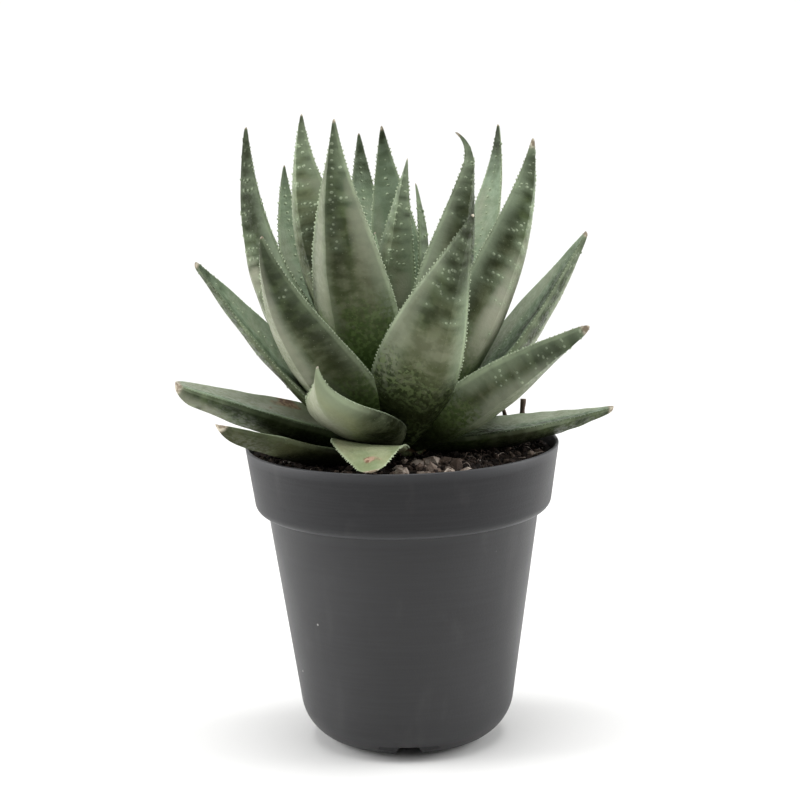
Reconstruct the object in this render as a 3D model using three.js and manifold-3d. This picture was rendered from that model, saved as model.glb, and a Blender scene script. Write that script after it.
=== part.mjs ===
// A potted haworthia: a rosette of pointed, toothed leaves on a short stem, in a round plastic nursery pot.
// Millimetres, +Z up. The origin is on the pot's axis, on the surface that the pot stands on.
// Azimuths are in degrees from the front (-Y), positive towards the right (+X).
import * as THREE from 'three';
import { mergeVertices } from 'three/addons/utils/BufferGeometryUtils.js';
import Module from 'manifold-3d';

// Pot: the outside is a rounded foot, a straight tapered body and a collar that steps out from it.
const POT_HEIGHT = 116;
const RIM_RADIUS = 60;
const TAPER = THREE.MathUtils.degToRad(8.2);
const CREASE_HEIGHT = 90.5;
const CREASE_RADIUS = 52;
const COLLAR_ROUNDING = 4.4;
const FOOT_ROUNDING = 18.4;
const WALL = 1.2;
const FLOOR_TOP = 7.2;
const POT_SIDES = 40;

// Drainage: radial channels under the floor that end in notches in the foot, with a hole in each.
// The foot is cut back to a flat wall on both sides of each notch.
const CHANNELS = 3;
const CHANNEL_TOP_WIDTH = 7.2;
const CHANNEL_FOOT_WIDTH = 13.4;
const CHANNEL_DEPTH = 4.9;
const CHANNEL_INNER_RADIUS = 9;
const DRAIN_HOLE_RADIUS = 2.5;
const DRAIN_HOLE_REACH = 15;
const CUTBACK_WIDTH = 23;
const CUTBACK_HEIGHT = 6;
const CUTBACK_REACH = 33.5;

// Potting mix: a filling with a lumpy top, coarse granules and two dry twigs.
const SOIL_HEIGHT = 111.5;
const SOIL_LUMP = 0.9;
const GRANULES = 20;
const TWIGS = [
  { azimuth: 114, reach: 50, height: 128, lean: 8, radius: 1.7 },
  { azimuth: 119, reach: 49, height: 123, lean: -14, radius: 1.4 },
];

// Stem: short and tapered, hidden by the leaf bases.
const STEM_PROFILE = [[0, 94], [6, 97], [9, 104], [9.5, 116], [8, 124], [6, 132], [4, 138], [0, 141]];
const STEM_WAIST = 110;
const STEM_SIDES = 12;

// Clearance that every pair of neighbours keeps.
const GAP = 0.35;

// Leaf shape shared by the whole rosette.
const FULL_WIDTH_AT = 0.3;
const NECK = 0.52;
const CHANNEL_HOLLOW = 0.18;
const MARGIN_THICKNESS = 0.1;
const INNER_FACE = [-1, -0.45, 0.45, 1];
const OUTER_ARM = [0, 0.42];
const FLESH_FADES_AT = 0.25;
const FLESH_POWER = 0.75;
const FOOT_THINNING = 0.75;
const FOOT_LENGTH = 0.25;
const HOOK_START = 0.84;

// Places along a leaf, from 0 at the root to 1 at the tip. A station carries teeth on both margins and
// tubercles on the outer face; the other rings lie below them.
const LOWER_RINGS = [0, 0.11];
const STATIONS = [0.24, 0.39, 0.54, 0.68, 0.81, 0.93];
const TOOTH_LENGTH = 1.5;
const TOOTH_HEIGHT = 0.9;
const TOOTH_SLANT = 0.35;
const TUBERCLE_HEIGHT = 0.5;
const BUMP_FLOOR = POT_HEIGHT + 1;

// The leaves, innermost first. azimuth and reach place the root; rise is the slope there, in degrees.
// tip is its azimuth, reach and height, and tipRise the slope at which the leaf arrives there.
// keel is where the back's ridge runs, from -1 (left margin) to 1; twist turns the leaf about its spine.
// ridged is how sharp that ridge is at the root and at the tip, from 0 (round) to 1.
const LEAF_DEFAULTS = {
  reach: 7, bow: [0.4, 0.35], twist: [0, 0], keel: 0, point: 1.15, blunt: 0.02, hook: [0, 0, 0],
  ridged: [0.35, 0.8],
};
const LEAVES = [
  { azimuth: 165, reach: 4, root: 138, rise: 86, tip: [-175, 8, 184], tipRise: 86, width: 11, thick: 4 },
  { azimuth: -120, reach: 4, root: 137, rise: 84, tip: [-130, 11, 196], tipRise: 84, width: 14, thick: 5 },
  { azimuth: 80, reach: 6, root: 136, rise: 88, tip: [90, 7, 214.7], tipRise: 96, width: 13, thick: 5 },
  { azimuth: -30, reach: 5, root: 136, rise: 88, tip: [18, 14, 225], tipRise: 80, head: 60, width: 19,
    thick: 6, point: 1.3 },
  { azimuth: -66, reach: 5, root: 134, rise: 67, tip: [-80, 35, 241.7], tipRise: 92, width: 29,
    thick: 8, twist: [30, 40], keel: -0.35, point: 1.25 },
  { azimuth: 34, reach: 5, root: 132, rise: 60, tip: [65, 33, 238], tipRise: 78, width: 27, thick: 8,
    point: 1.7, hook: [-8, 0, -4] },
  { azimuth: 170, root: 132, rise: 72, tip: [-170, 30, 234.9], tipRise: 84, head: -150, width: 23, thick: 7 },
  { azimuth: 122, root: 129, rise: 72, tip: [131, 53, 234.3], tipRise: 88, width: 28, thick: 8 },
  { azimuth: -112, root: 129, rise: 48, tip: [-109, 45, 221.6], tipRise: 92, width: 21, thick: 6,
    twist: [-30, -34] },
  { azimuth: -42, reach: 11, root: 127, rise: 74, tip: [-31, 42, 241], tipRise: 90, width: 34, thick: 10,
    twist: [16, 12], keel: -0.3, point: 1.3 },
  { azimuth: -158, root: 126, rise: 58, tip: [-165, 56, 231], tipRise: 84, head: -150, width: 24, thick: 7 },
  { azimuth: 38, root: 125, rise: 46, tip: [77, 52, 231.2], tipRise: 84, head: 90, width: 26, thick: 9,
    bow: [0.38, 0.3], twist: [-6, -6], keel: 0.2 },
  { azimuth: -104, root: 124, rise: 42, tip: [-95, 56, 236.8], tipRise: 90, width: 31, thick: 8,
    bow: [0.42, 0.42], twist: [54, 48], keel: -0.3 },
  { azimuth: 180, root: 123, rise: 42, tip: [180, 66, 196], tipRise: 60, width: 26, thick: 8 },
  { azimuth: -10, reach: 9, root: 121, rise: 44, out: 12, tip: [26, 61, 207.7], tipRise: 64, head: 50,
    width: 31, thick: 9, twist: [4, 4], keel: 0.45, bow: [0.42, 0.4] },
  { azimuth: 78, root: 121, rise: 45, tip: [80, 71, 196.5], tipRise: 54, width: 34, thick: 12,
    twist: [14, 22] },
  { azimuth: 140, root: 120, rise: 36, tip: [140, 58, 184], tipRise: 56, width: 26, thick: 8 },
  { azimuth: -142, root: 120, rise: 36, tip: [-142, 64, 186], tipRise: 58, width: 26, thick: 8 },
  { azimuth: -48, reach: 9, root: 119, rise: 50, tip: [-44, 69, 201.1], tipRise: 76, width: 33, thick: 10,
    twist: [16, 8], keel: -0.26, bow: [0.4, 0.3] },
  { azimuth: -78, root: 117, rise: 38, tip: [-72, 78, 189.5], tipRise: 48, width: 27, thick: 8,
    twist: [-20, -24], keel: 0.1, blunt: 0.05 },
  { azimuth: 50, root: 119.3, rise: 29, tip: [60, 79, 165], tipRise: 28, width: 25, thick: 10,
    twist: [-32, -26], blunt: 0.07 },
  { azimuth: -46, reach: 10, root: 118.8, rise: 42, out: -30, tip: [-34, 53, 153.2], tipRise: 84, width: 36,
    thick: 9, twist: [9, 0], bow: [0.5, 0.32], point: 1.7, ridged: [0, 0.4] },
  { azimuth: 122, root: 118, rise: 18, tip: [118, 60, 147], tipRise: 32, width: 24, thick: 8 },
  { azimuth: -132, root: 117, rise: 16, tip: [-138, 62, 151], tipRise: 32, width: 24, thick: 8 },
  { azimuth: 156, root: 116, rise: 10, tip: [158, 74, 134], tipRise: 24, width: 24, thick: 8 },
  { azimuth: -74, root: 120, rise: 18, tip: [-73, 87, 145.2], tipRise: 17, width: 26, thick: 12,
    twist: [-12, -4], blunt: 0.2 },
  { azimuth: 90, root: 119, rise: 6, tip: [94, 82, 126.9], tipRise: 8, width: 24, thick: 10,
    twist: [2, 4], blunt: 0.05 },
  { azimuth: -166, root: 116, rise: 6, tip: [-168, 73, 126], tipRise: 10, width: 24, thick: 7 },
  { azimuth: -112, root: 116, rise: 4, tip: [-112, 66, 124], tipRise: 10, width: 22, thick: 7 },
  { azimuth: -36, reach: 10, root: 116, rise: 17, tip: [-11, 60, 117], tipRise: -30, width: 28, thick: 5,
    blunt: 0.1, point: 0.85 },
  { azimuth: -58, root: 112, rise: 10, tip: [-55, 81, 133], tipRise: 15, width: 27, thick: 8,
    twist: [2, 4], blunt: 0.28 },
];

const POT_FINISH = new THREE.MeshStandardMaterial({ color: 0x45474b, roughness: 0.6, metalness: 0 });
const SOIL_FINISH = new THREE.MeshStandardMaterial({ color: 0x3a2a22, roughness: 0.95, metalness: 0 });
const STEM_FINISH = new THREE.MeshStandardMaterial({ color: 0x8a8f6a, roughness: 0.8, metalness: 0 });
const LEAF_FINISH = new THREE.MeshStandardMaterial({ color: 0x5f7558, roughness: 0.5, metalness: 0 });

const wasm = await Module();
wasm.setup();

const QUARTER_TURN = Math.PI / 2;
const { clamp, degToRad, lerp, seededRandom } = THREE.MathUtils;

// A closed geometry as a solid that can be joined and cut.
function solidOf(geometry) {
  const bare = geometry.clone();
  bare.deleteAttribute('normal');
  bare.deleteAttribute('uv');
  const merged = mergeVertices(bare, 1e-4);
  const corners = merged.index.array;
  const triangles = [];
  for (let i = 0; i < corners.length; i += 3) {
    const [a, b, c] = corners.slice(i, i + 3);
    if (a !== b && b !== c && c !== a) triangles.push(a, b, c);
  }
  return new wasm.Manifold(new wasm.Mesh({
    numProp: 3,
    vertProperties: Float32Array.from(merged.attributes.position.array),
    triVerts: Uint32Array.from(triangles),
  }));
}

// The largest body of a solid, as a named mesh.
function meshOf(name, solid, finish) {
  const bodies = solid.decompose();
  bodies.sort((a, b) => b.volume() - a.volume());
  const { vertProperties, triVerts } = bodies[0].getMesh();
  const geometry = new THREE.BufferGeometry();
  geometry.setAttribute('position', new THREE.BufferAttribute(Float32Array.from(vertProperties), 3));
  geometry.setIndex([...triVerts]);
  geometry.computeVertexNormals();
  const mesh = new THREE.Mesh(geometry, finish);
  mesh.name = name;
  return mesh;
}

// A profile of [radius, height] points turned about Z. It runs up the outside and closes on the axis.
function turned(profile, sides) {
  const points = profile.map(([radius, height]) => new THREE.Vector2(radius, height));
  return new THREE.LatheGeometry(points, sides).rotateX(QUARTER_TURN);
}

// Points on an arc about [radius, height], between two angles measured from the outward direction.
function arc([radius, height], size, from, to, steps) {
  const points = [];
  for (let i = 0; i <= steps; i += 1) {
    const angle = lerp(from, to, i / steps);
    points.push([radius + size * Math.cos(angle), height + size * Math.sin(angle)]);
  }
  return points;
}

// A point at an azimuth and reach from the axis, and a direction by azimuth and elevation.
function polar(azimuth, reach, height) {
  const angle = degToRad(azimuth);
  return new THREE.Vector3(reach * Math.sin(angle), -reach * Math.cos(angle), height);
}

function heading(azimuth, elevation) {
  const angle = degToRad(elevation);
  return polar(azimuth, Math.cos(angle), Math.sin(angle));
}

// The pot's outside, from the standing face up to the rim, moved inwards by inset.
function potProfile(inset, foot, rim, steps) {
  const taper = Math.tan(TAPER);
  const bodyAt = (height) => CREASE_RADIUS - (CREASE_HEIGHT - height) * taper - inset / Math.cos(TAPER);
  const footRadius = bodyAt(FOOT_ROUNDING) + inset / Math.cos(TAPER) - FOOT_ROUNDING / Math.cos(TAPER);
  const footSize = FOOT_ROUNDING - inset;
  const footStart = -Math.asin(Math.min(1, (FOOT_ROUNDING - foot) / footSize));
  const collarSize = COLLAR_ROUNDING - inset;
  const collarTop = CREASE_HEIGHT + COLLAR_ROUNDING;
  const collarUnder = collarTop - collarSize;
  const collarOuter = RIM_RADIUS - (POT_HEIGHT - collarTop) * taper - COLLAR_ROUNDING / Math.cos(TAPER);
  return [
    [0, foot],
    ...arc([footRadius, FOOT_ROUNDING], footSize, footStart, -TAPER, 2 * steps),
    [bodyAt(collarUnder), collarUnder],
    ...arc([collarOuter, collarTop], collarSize, -QUARTER_TURN, -TAPER, steps),
    [RIM_RADIUS - (POT_HEIGHT - rim) * taper - inset / Math.cos(TAPER), rim],
  ];
}

function makePot() {
  const outside = potProfile(0, 0, POT_HEIGHT, 2);
  const cavity = potProfile(WALL, FLOOR_TOP, POT_HEIGHT, 1);
  let pot = solidOf(turned([...outside, ...cavity.reverse()], POT_SIDES));
  const channelShape = new THREE.Shape([
    new THREE.Vector2(-CHANNEL_FOOT_WIDTH / 2, -1),
    new THREE.Vector2(CHANNEL_FOOT_WIDTH / 2, -1),
    new THREE.Vector2(CHANNEL_TOP_WIDTH / 2, CHANNEL_DEPTH),
    new THREE.Vector2(-CHANNEL_TOP_WIDTH / 2, CHANNEL_DEPTH),
  ]);
  for (let i = 0; i < CHANNELS; i += 1) {
    const turn = i * 2 * Math.PI / CHANNELS;
    const channel = new THREE.ExtrudeGeometry(channelShape, { depth: CREASE_RADIUS, bevelEnabled: false });
    channel.rotateX(QUARTER_TURN).translate(0, -CHANNEL_INNER_RADIUS, 0).rotateZ(turn);
    const hole = new THREE.CylinderGeometry(DRAIN_HOLE_RADIUS, DRAIN_HOLE_RADIUS, 2 * FLOOR_TOP + 2, 12);
    hole.rotateX(QUARTER_TURN).translate(0, -DRAIN_HOLE_REACH, 0).rotateZ(turn);
    pot = pot.subtract(solidOf(channel)).subtract(solidOf(hole));
    const cutback = new THREE.BoxGeometry(CUTBACK_WIDTH, CUTBACK_REACH, 2 * CUTBACK_HEIGHT);
    cutback.translate(0, -1.5 * CUTBACK_REACH, 0).rotateZ(turn);
    pot = pot.subtract(solidOf(cutback));
  }
  return pot;
}

// The leaf's spine is a cubic curve from root to tip, and hook bends its last part.
function spineOf(leaf) {
  const root = polar(leaf.azimuth, leaf.reach, leaf.root);
  const tip = polar(...leaf.tip);
  const chord = root.distanceTo(tip);
  const leaving = heading(leaf.out ?? leaf.azimuth, leaf.rise).multiplyScalar(chord * leaf.bow[0]);
  const arriving = heading(leaf.head ?? leaf.tip[0], leaf.tipRise).multiplyScalar(chord * leaf.bow[1]);
  const curve = new THREE.CubicBezierCurve3(root, leaving.add(root), arriving.negate().add(tip), tip);
  const hook = new THREE.Vector3(...leaf.hook);
  const bend = (t) => clamp((t - HOOK_START) / (1 - HOOK_START), 0, 1) ** 2;
  return (t) => curve.getPoint(t).addScaledVector(hook, bend(t));
}

// Position, direction, sideways and inward axes of the leaf at t (0 at the root, 1 at the tip).
function frameAt(leaf, spine, t) {
  const step = 0.002;
  const along = spine(Math.min(1, t + step)).sub(spine(Math.max(0, t - step))).normalize();
  const angle = degToRad(leaf.azimuth);
  const across = new THREE.Vector3(Math.cos(angle), Math.sin(angle), 0);
  across.addScaledVector(along, -across.dot(along)).normalize();
  const twist = degToRad(lerp(...leaf.twist, t));
  across.applyAxisAngle(along, twist);
  return { at: spine(t), along, across, inward: along.clone().cross(across) };
}

// Half width and thickness along the leaf. A blunt tip stops short of the point and is rounded off.
function girthAt(leaf, t) {
  const reached = t * (1 - leaf.blunt);
  const capStart = 1 - leaf.blunt / 2;
  const cap = Math.sqrt(1 - clamp((t - capStart) / (1 - capStart), 0, 1) ** 2);
  const taper = Math.sin(QUARTER_TURN * Math.min(1, (1 - reached) / (1 - FULL_WIDTH_AT))) ** leaf.point;
  const neck = 1 - (1 - NECK) * clamp((FULL_WIDTH_AT - t) / FULL_WIDTH_AT, 0, 1) ** 2;
  const flesh = Math.sin(QUARTER_TURN * Math.min(1, (1 - reached) / (1 - FLESH_FADES_AT))) ** FLESH_POWER;
  const foot = lerp(FOOT_THINNING, 1, clamp(t / FOOT_LENGTH, 0, 1));
  return { half: leaf.width / 2 * taper * neck * cap, thick: leaf.thick * flesh * foot * cap };
}

// Depth of the faces below the line between the margins, as parts of the thickness.
function innerDepth(t, s) {
  return CHANNEL_HOLLOW * Math.sqrt(1 - t) * (1 - s * s);
}

function outerDepth(leaf, t, s) {
  const arm = s < leaf.keel ? (s + 1) / (1 + leaf.keel) : (1 - s) / (1 - leaf.keel);
  const ridged = lerp(...leaf.ridged, t);
  const rounded = Math.sqrt(Math.max(0, 1 - (1 - arm) ** 2));
  return MARGIN_THICKNESS + (1 - MARGIN_THICKNESS) * (ridged * arm + (1 - ridged) * rounded);
}

// A point of the leaf's skin at t and s (-1 to 1 across), on its inner or outer face.
function skinPoint(leaf, frame, t, s, outer, swell) {
  const { half, thick } = girthAt(leaf, t);
  const depth = outer ? outerDepth(leaf, t, s) * thick + swell : innerDepth(t, s) * thick - swell;
  return frame.at.clone()
    .addScaledVector(frame.across, s * (half + swell))
    .addScaledVector(frame.inward, -depth);
}

// The points around a leaf's section: across the inner face, then back over the outer face and its keel.
function sectionPoints(leaf) {
  const inner = INNER_FACE.map((s) => ({ s, outer: false }));
  const right = OUTER_ARM.map((arm) => ({ s: lerp(1, leaf.keel, arm), outer: true }));
  const left = OUTER_ARM.map((arm) => ({ s: lerp(-1, leaf.keel, arm), outer: true })).reverse();
  return [...inner, ...right, { s: leaf.keel, outer: true }, ...left];
}

// The top of the bump between two section points at t: a tooth on a margin, else a tubercle, else none.
function bumpTop(leaf, frame, t, from, to, wanted) {
  const margin = Math.abs(from.s) === 1 && Math.abs(to.s) === 1;
  const back = from.outer && to.outer && Math.abs(from.s) < 1 && Math.abs(to.s) < 1;
  if (!margin && !(back && wanted)) return null;
  const top = skinPoint(leaf, frame, t, from.s, from.outer, 0);
  top.lerp(skinPoint(leaf, frame, t, to.s, to.outer, 0), 0.5);
  if (back) return top.addScaledVector(frame.inward, -TUBERCLE_HEIGHT);
  const outwards = frame.across.clone().multiplyScalar(from.s).addScaledVector(frame.along, TOOTH_SLANT);
  return top.addScaledVector(outwards.normalize(), TOOTH_HEIGHT);
}

// A leaf as closed rings about its spine, closed at the root and drawn to a point at the tip.
// With hasRoom, each station is a short band whose faces rise to bumps where hasRoom(top) is true.
function leafSolid(leaf, swell, hasRoom) {
  const spine = spineOf(leaf);
  const section = sectionPoints(leaf);
  const count = section.length;
  const half = TOOTH_LENGTH / 2 / spine(0).distanceTo(spine(1));
  const stationRings = hasRoom ? STATIONS.flatMap((t) => [t - half, t + half]) : STATIONS;
  const rings = [...LOWER_RINGS, ...stationRings];
  const positions = [];
  const addVertex = (point) => positions.push(...point) / 3 - 1;
  for (const t of rings) {
    const frame = frameAt(leaf, spine, t);
    for (const { s, outer } of section) addVertex(skinPoint(leaf, frame, t, s, outer, swell));
  }
  const root = frameAt(leaf, spine, 0);
  root.at.addScaledVector(root.inward, -girthAt(leaf, 0).thick / 2).addScaledVector(root.along, -swell);
  const tip = frameAt(leaf, spine, 1);
  const rootVertex = addVertex(root.at);
  const tipVertex = addVertex(tip.at.addScaledVector(tip.along, swell));
  const indices = [];
  const last = (rings.length - 1) * count;
  for (let i = 0; i < count; i += 1) {
    const next = (i + 1) % count;
    indices.push(rootVertex, i, next, last + i, tipVertex, last + next);
    for (let ring = 0; ring < rings.length - 1; ring += 1) {
      const [a, b] = [ring * count + i, ring * count + next];
      const [c, d] = [b + count, a + count];
      const station = (ring - LOWER_RINGS.length) / 2;
      const t = hasRoom && STATIONS[station];
      const top = t && bumpTop(leaf, frameAt(leaf, spine, t), t, section[i], section[next], (station + i) % 2);
      if (top && hasRoom(top)) {
        const peak = addVertex(top);
        indices.push(a, peak, b, b, peak, c, c, peak, d, d, peak, a);
      } else {
        indices.push(a, d, b, b, d, c);
      }
    }
  }
  const geometry = new THREE.BufferGeometry();
  geometry.setAttribute('position', new THREE.Float32BufferAttribute(positions, 3));
  geometry.setIndex(indices);
  return solidOf(geometry);
}

// Whether two solids share any space. Boxes that lie apart settle it without a cut.
function meets(a, b) {
  const [boxA, boxB] = [a.boundingBox(), b.boundingBox()];
  const apart = [0, 1, 2].some((k) => boxA.min[k] > boxB.max[k] || boxB.min[k] > boxA.max[k]);
  return !apart && !a.intersect(b).isEmpty();
}

function cutClear(solid, others) {
  return others.reduce((rest, other) => (meets(rest, other) ? rest.subtract(other) : rest), solid);
}

// The filling follows the pot's inside and has a lumpy top with granules and twigs fused into it.
function makeSoil(holes) {
  const cavity = potProfile(WALL + GAP, FLOOR_TOP + GAP, SOIL_HEIGHT, 1);
  const edge = cavity[cavity.length - 1][0];
  const top = [0.82, 0.62, 0.4].map((part) => [edge * part, SOIL_HEIGHT]);
  const filling = turned([...cavity, ...top, [0, SOIL_HEIGHT]], POT_SIDES);
  const position = filling.attributes.position;
  for (let i = 0; i < position.count; i += 1) {
    const [x, y, z] = [position.getX(i), position.getY(i), position.getZ(i)];
    const lump = Math.sin(0.31 * x + 0.12 * y) * Math.cos(0.27 * y - 0.1 * x);
    if (z > SOIL_HEIGHT - 0.01) position.setZ(i, z + SOIL_LUMP * lump);
  }
  let soil = solidOf(filling);
  seededRandom(7);
  for (let i = 0; i < GRANULES; i += 1) {
    const size = lerp(1.6, 3, seededRandom());
    const azimuth = lerp(0, 360, (i + 0.5 * seededRandom()) / GRANULES);
    const granule = new THREE.OctahedronGeometry(size).scale(1, 0.8, 0.7).rotateZ(degToRad(azimuth));
    granule.translate(...polar(azimuth, lerp(32, 54, seededRandom()), SOIL_HEIGHT + 0.5));
    const body = solidOf(granule);
    if (!holes.some((hole) => meets(body, hole))) soil = soil.add(body);
  }
  for (const { azimuth, reach, height, lean, radius } of TWIGS) {
    const twig = new THREE.CylinderGeometry(radius * 0.6, radius, height - SOIL_HEIGHT + 4, 5);
    twig.rotateX(QUARTER_TURN).translate(0, 0, (height - SOIL_HEIGHT) / 2 - 2).rotateY(degToRad(lean));
    twig.translate(...polar(azimuth, reach, SOIL_HEIGHT));
    soil = soil.add(solidOf(twig));
  }
  return cutClear(soil, holes);
}

const part = new THREE.Group();
part.add(meshOf('pot', makePot(), POT_FINISH));

const stem = solidOf(turned(STEM_PROFILE, STEM_SIDES));
const stemRoom = solidOf(turned(STEM_PROFILE.map(([radius, height]) => [
  radius === 0 ? 0 : radius + GAP,
  height + (height < STEM_WAIST ? -GAP : GAP),
]), STEM_SIDES));
part.add(meshOf('stem', stem, STEM_FINISH));

// Each leaf bears teeth where they have room, and is cut clear of the stem and of the leaves inside it.
const leaves = LEAVES.map((given) => ({ ...LEAF_DEFAULTS, ...given }));
const leafRooms = leaves.map((leaf) => leafSolid(leaf, GAP));
leaves.forEach((leaf, i) => {
  const others = leafRooms.filter((room, k) => k !== i);
  const hasRoom = (top) => {
    if (top.z < BUMP_FLOOR) return false;
    const feeler = solidOf(new THREE.OctahedronGeometry(GAP).translate(...top));
    return !others.some((room) => meets(feeler, room));
  };
  const blade = cutClear(leafSolid(leaf, 0, hasRoom), [stemRoom, ...leafRooms.slice(0, i)]);
  part.add(meshOf(`leaf_${String(i + 1).padStart(2, '0')}`, blade, LEAF_FINISH));
});

part.add(meshOf('soil', makeSoil([stemRoom, ...leafRooms]), SOIL_FINISH));

export default part;
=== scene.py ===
"""A potted haworthia: a rosette of pointed, toothed leaves on a short stem, in a round nursery pot.

Every surface is a numpy grid of points. Lengths are in millimetres until a mesh is made, with +Z up and the
origin on the pot's axis where the pot stands. Azimuths are in degrees from the front (-Y), positive towards
the right (+X). A pair of numbers is a range to draw from, unless its comment says otherwise.
"""

import math

import bpy
import numpy as np
from mathutils import Matrix


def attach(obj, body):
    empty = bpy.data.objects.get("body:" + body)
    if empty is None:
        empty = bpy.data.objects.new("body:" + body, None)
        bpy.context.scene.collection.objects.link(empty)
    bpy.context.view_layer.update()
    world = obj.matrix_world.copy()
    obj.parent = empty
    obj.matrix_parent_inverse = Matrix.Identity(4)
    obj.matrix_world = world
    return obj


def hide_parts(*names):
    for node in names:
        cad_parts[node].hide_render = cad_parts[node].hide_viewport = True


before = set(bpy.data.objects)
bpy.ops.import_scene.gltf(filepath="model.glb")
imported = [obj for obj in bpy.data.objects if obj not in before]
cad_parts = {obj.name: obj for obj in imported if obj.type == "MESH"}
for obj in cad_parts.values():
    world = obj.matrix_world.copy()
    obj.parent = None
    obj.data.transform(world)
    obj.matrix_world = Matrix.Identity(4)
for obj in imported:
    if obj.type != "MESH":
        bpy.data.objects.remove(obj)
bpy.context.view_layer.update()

MM = 0.001
QUARTER_TURN = math.pi / 2

# Pot: the outside is a rounded foot, a straight tapered body and a collar that steps out from it. The
# edges are paler near the crease and just under the rim: each pair of heights runs from plain to palest.
POT_HEIGHT = 116
RIM_RADIUS = 60
TAPER = math.radians(8.2)
CREASE_HEIGHT = 90.5
CREASE_RADIUS = 52
COLLAR_ROUNDING = 4.4
FOOT_ROUNDING = 18.4
WALL = 1.2
FLOOR_TOP = 7.2
POT_SIDES = 360
POT_SHARP_ABOVE = 35
CREASE_PALENESS_ABOVE = 0.7
CREASE_PALENESS = (1, 0.2)
RIM_PALENESS = (-1.4, -0.4)

# Drainage: radial channels under the floor that end in notches in the foot, with a hole in each.
# The foot is cut back to a flat wall on both sides of each notch.
CHANNELS = 3
CHANNEL_TOP_WIDTH = 7.2
CHANNEL_FOOT_WIDTH = 13.4
CHANNEL_DEPTH = 4.9
CHANNEL_INNER_RADIUS = 9
DRAIN_HOLE_RADIUS = 2.5
DRAIN_HOLE_REACH = 15
DRAIN_HOLE_TOP = 6.9
CUTBACK_WIDTH = 23
CUTBACK_HEIGHT = 6
CUTBACK_REACH = 33.5

# Potting mix. A lump has a wavelength and a share of SOIL_LUMP, and SOIL_LEVELS_OFF are the radii over
# which lumps come and go. SOIL_TONE is the mean tone, how far it varies, and over what length. Grit is
# its seed, count, size, flatness, tone, and how pale it is. Clods lie only in a part of a ring: its two
# radii and two azimuths. Twigs waver and have knots: how far, and how long each wave is.
GAP = 0.35
SOIL_HEIGHT = 111.5
SOIL_LUMP = 1.6
SOIL_LUMPS = [(15, 0.65), (4.5, 0.35)]
SOIL_LUMP_SEED = 71
SOIL_LEVELS_OFF = (57.5, 54)
SOIL_TONE = (0.3, 0.25, 6)
SOIL_TONE_SEED = 73
SOIL_SIDES = 220
SOIL_RINGS = 100
CRUMBS = (81, 3000, (0.35, 1.7), (0.5, 0.9), (0, 0.7), 0)
BARK_CHIPS = (82, 240, (0.9, 2.6), (0.35, 0.7), (0.2, 0.95), 0)
CLODS = (85, 45, (1.4, 4), (0.5, 0.9), (0.55, 1.0), 0)
CLOD_RING = (22, 51)
CLOD_AZIMUTHS = (-4, 36)
PERLITE = (83, 60, (0.3, 0.9), (0.6, 0.95), (0, 1), 1)
GRIT_WIDTHS = (0.6, 0.95)
GRIT_UNEVEN = 0.22
GRIT_RISE = 0.25
GRIT_CLEARANCE = 1.2
GRIT_SHARP_ABOVE = 30
FIBRES = 150
FIBRE_SEED = 84
FIBRE_RING = (15, 53)
FIBRE_REACH = 55
FIBRE_LENGTHS = (3, 9)
FIBRE_CLEARANCE = 0.25
FIBRE_LIFT = (0.2, 1.6)
FIBRE_RADII = [0.05, 0.16, 0.04]
FIBRE_SIZES = (0.7, 1.3)
FIBRE_TONES = (0.5, 1)
TWIG_FOOT = 4
TWIG_NARROWING = 0.6
TWIG_SEED = 90
TWIG_WAVER = (0.5, 9, 8)
TWIG_KNOTS = (0.18, 3.5)
TWIG_TONE = 0.75
TWIGS = [
    {"azimuth": 114, "reach": 50, "height": 128, "lean": 8, "radius": 1.7},
    {"azimuth": 119, "reach": 49, "height": 123, "lean": -14, "radius": 1.4},
]

# The stem. STEM_RINGS is how deep its rings are, and how many radians they turn in a millimetre.
STEM_PROFILE = [[0, 94], [6, 97], [9, 104], [9.5, 116], [8, 124], [6, 132], [4, 138], [0, 141]]
STEM_SIDES = 48
STEM_RINGS = (0.03, 1.9)

# Leaf shape shared by the whole rosette.
FULL_WIDTH_AT = 0.3
NECK = 0.52
CHANNEL_HOLLOW = 0.18
MARGIN_THICKNESS = 0.1
FLESH_FADES_AT = 0.25
FLESH_POWER = 0.75
FOOT_THINNING = 0.75
FOOT_LENGTH = 0.25
HOOK_START = 0.84

# Leaf detail. A span is two parts of the leaf's length. Sizes of teeth and tubercles are across, along
# and out. Halos and the painted shadows below tubercles are half sizes across and along. ROW_WAVE is how
# high a row's wave is, and how it shifts with the side and from row to row, and ROWS_GROW runs from no
# tubercles to all. The three pairs of the painted sheen, the pale strips where facets that turn to the
# side catch the light, run from none of it to all of it at its sides, its foot and its top. BUMP_PALENESS
# is for teeth and for tubercles. SHADE_ON_BUMPS is how far halos and bumps dim under painted shade.
# SCAR_RAGGED is how uneven a scar's edge is, and its wavelength. LEAF_APART and FACE_APART set leaves and
# faces apart in their patterns.
LEAF_ROWS = 96
ROW_CROWDING = 1.25
INNER_COLUMNS = 21
ARM_COLUMNS = 15
MARGIN_BULGE = 0.22
FLESH_RIPPLE = 0.22
RIPPLE_LENGTH = 16
TOOTH_SEED = 100
TOOTH_PITCH = 1.5
TOOTH_SPAN = (0.12, 0.985)
TOOTH_STRAY = 0.4
TOOTH_SIZES = (0.55, 1.2)
TOOTH_GROWTH = ([0.12, 0.35, 0.9, 1], [0.45, 1, 0.9, 0.6])
TOOTH = (0.36, 0.44, 0.62)
TOOTH_LEAN = 0.7
ROW_SEED = 200
ROW_PITCH = 5.2
ROWS_GROW = (-0.1, 0.25)
ROWS_END = 0.97
ROW_STRAY = 1.2
ROW_WAVE = (1.1, 2.6, 0.9)
CLUSTER_SIZE = (1, 5)
CLUSTER_STEP = (1.4, 2.3)
CLUSTER_STRAY = 0.8
CLUSTER_SIDE = 0.86
TUBERCLE_SIZES = (0.55, 1.15)
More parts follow.
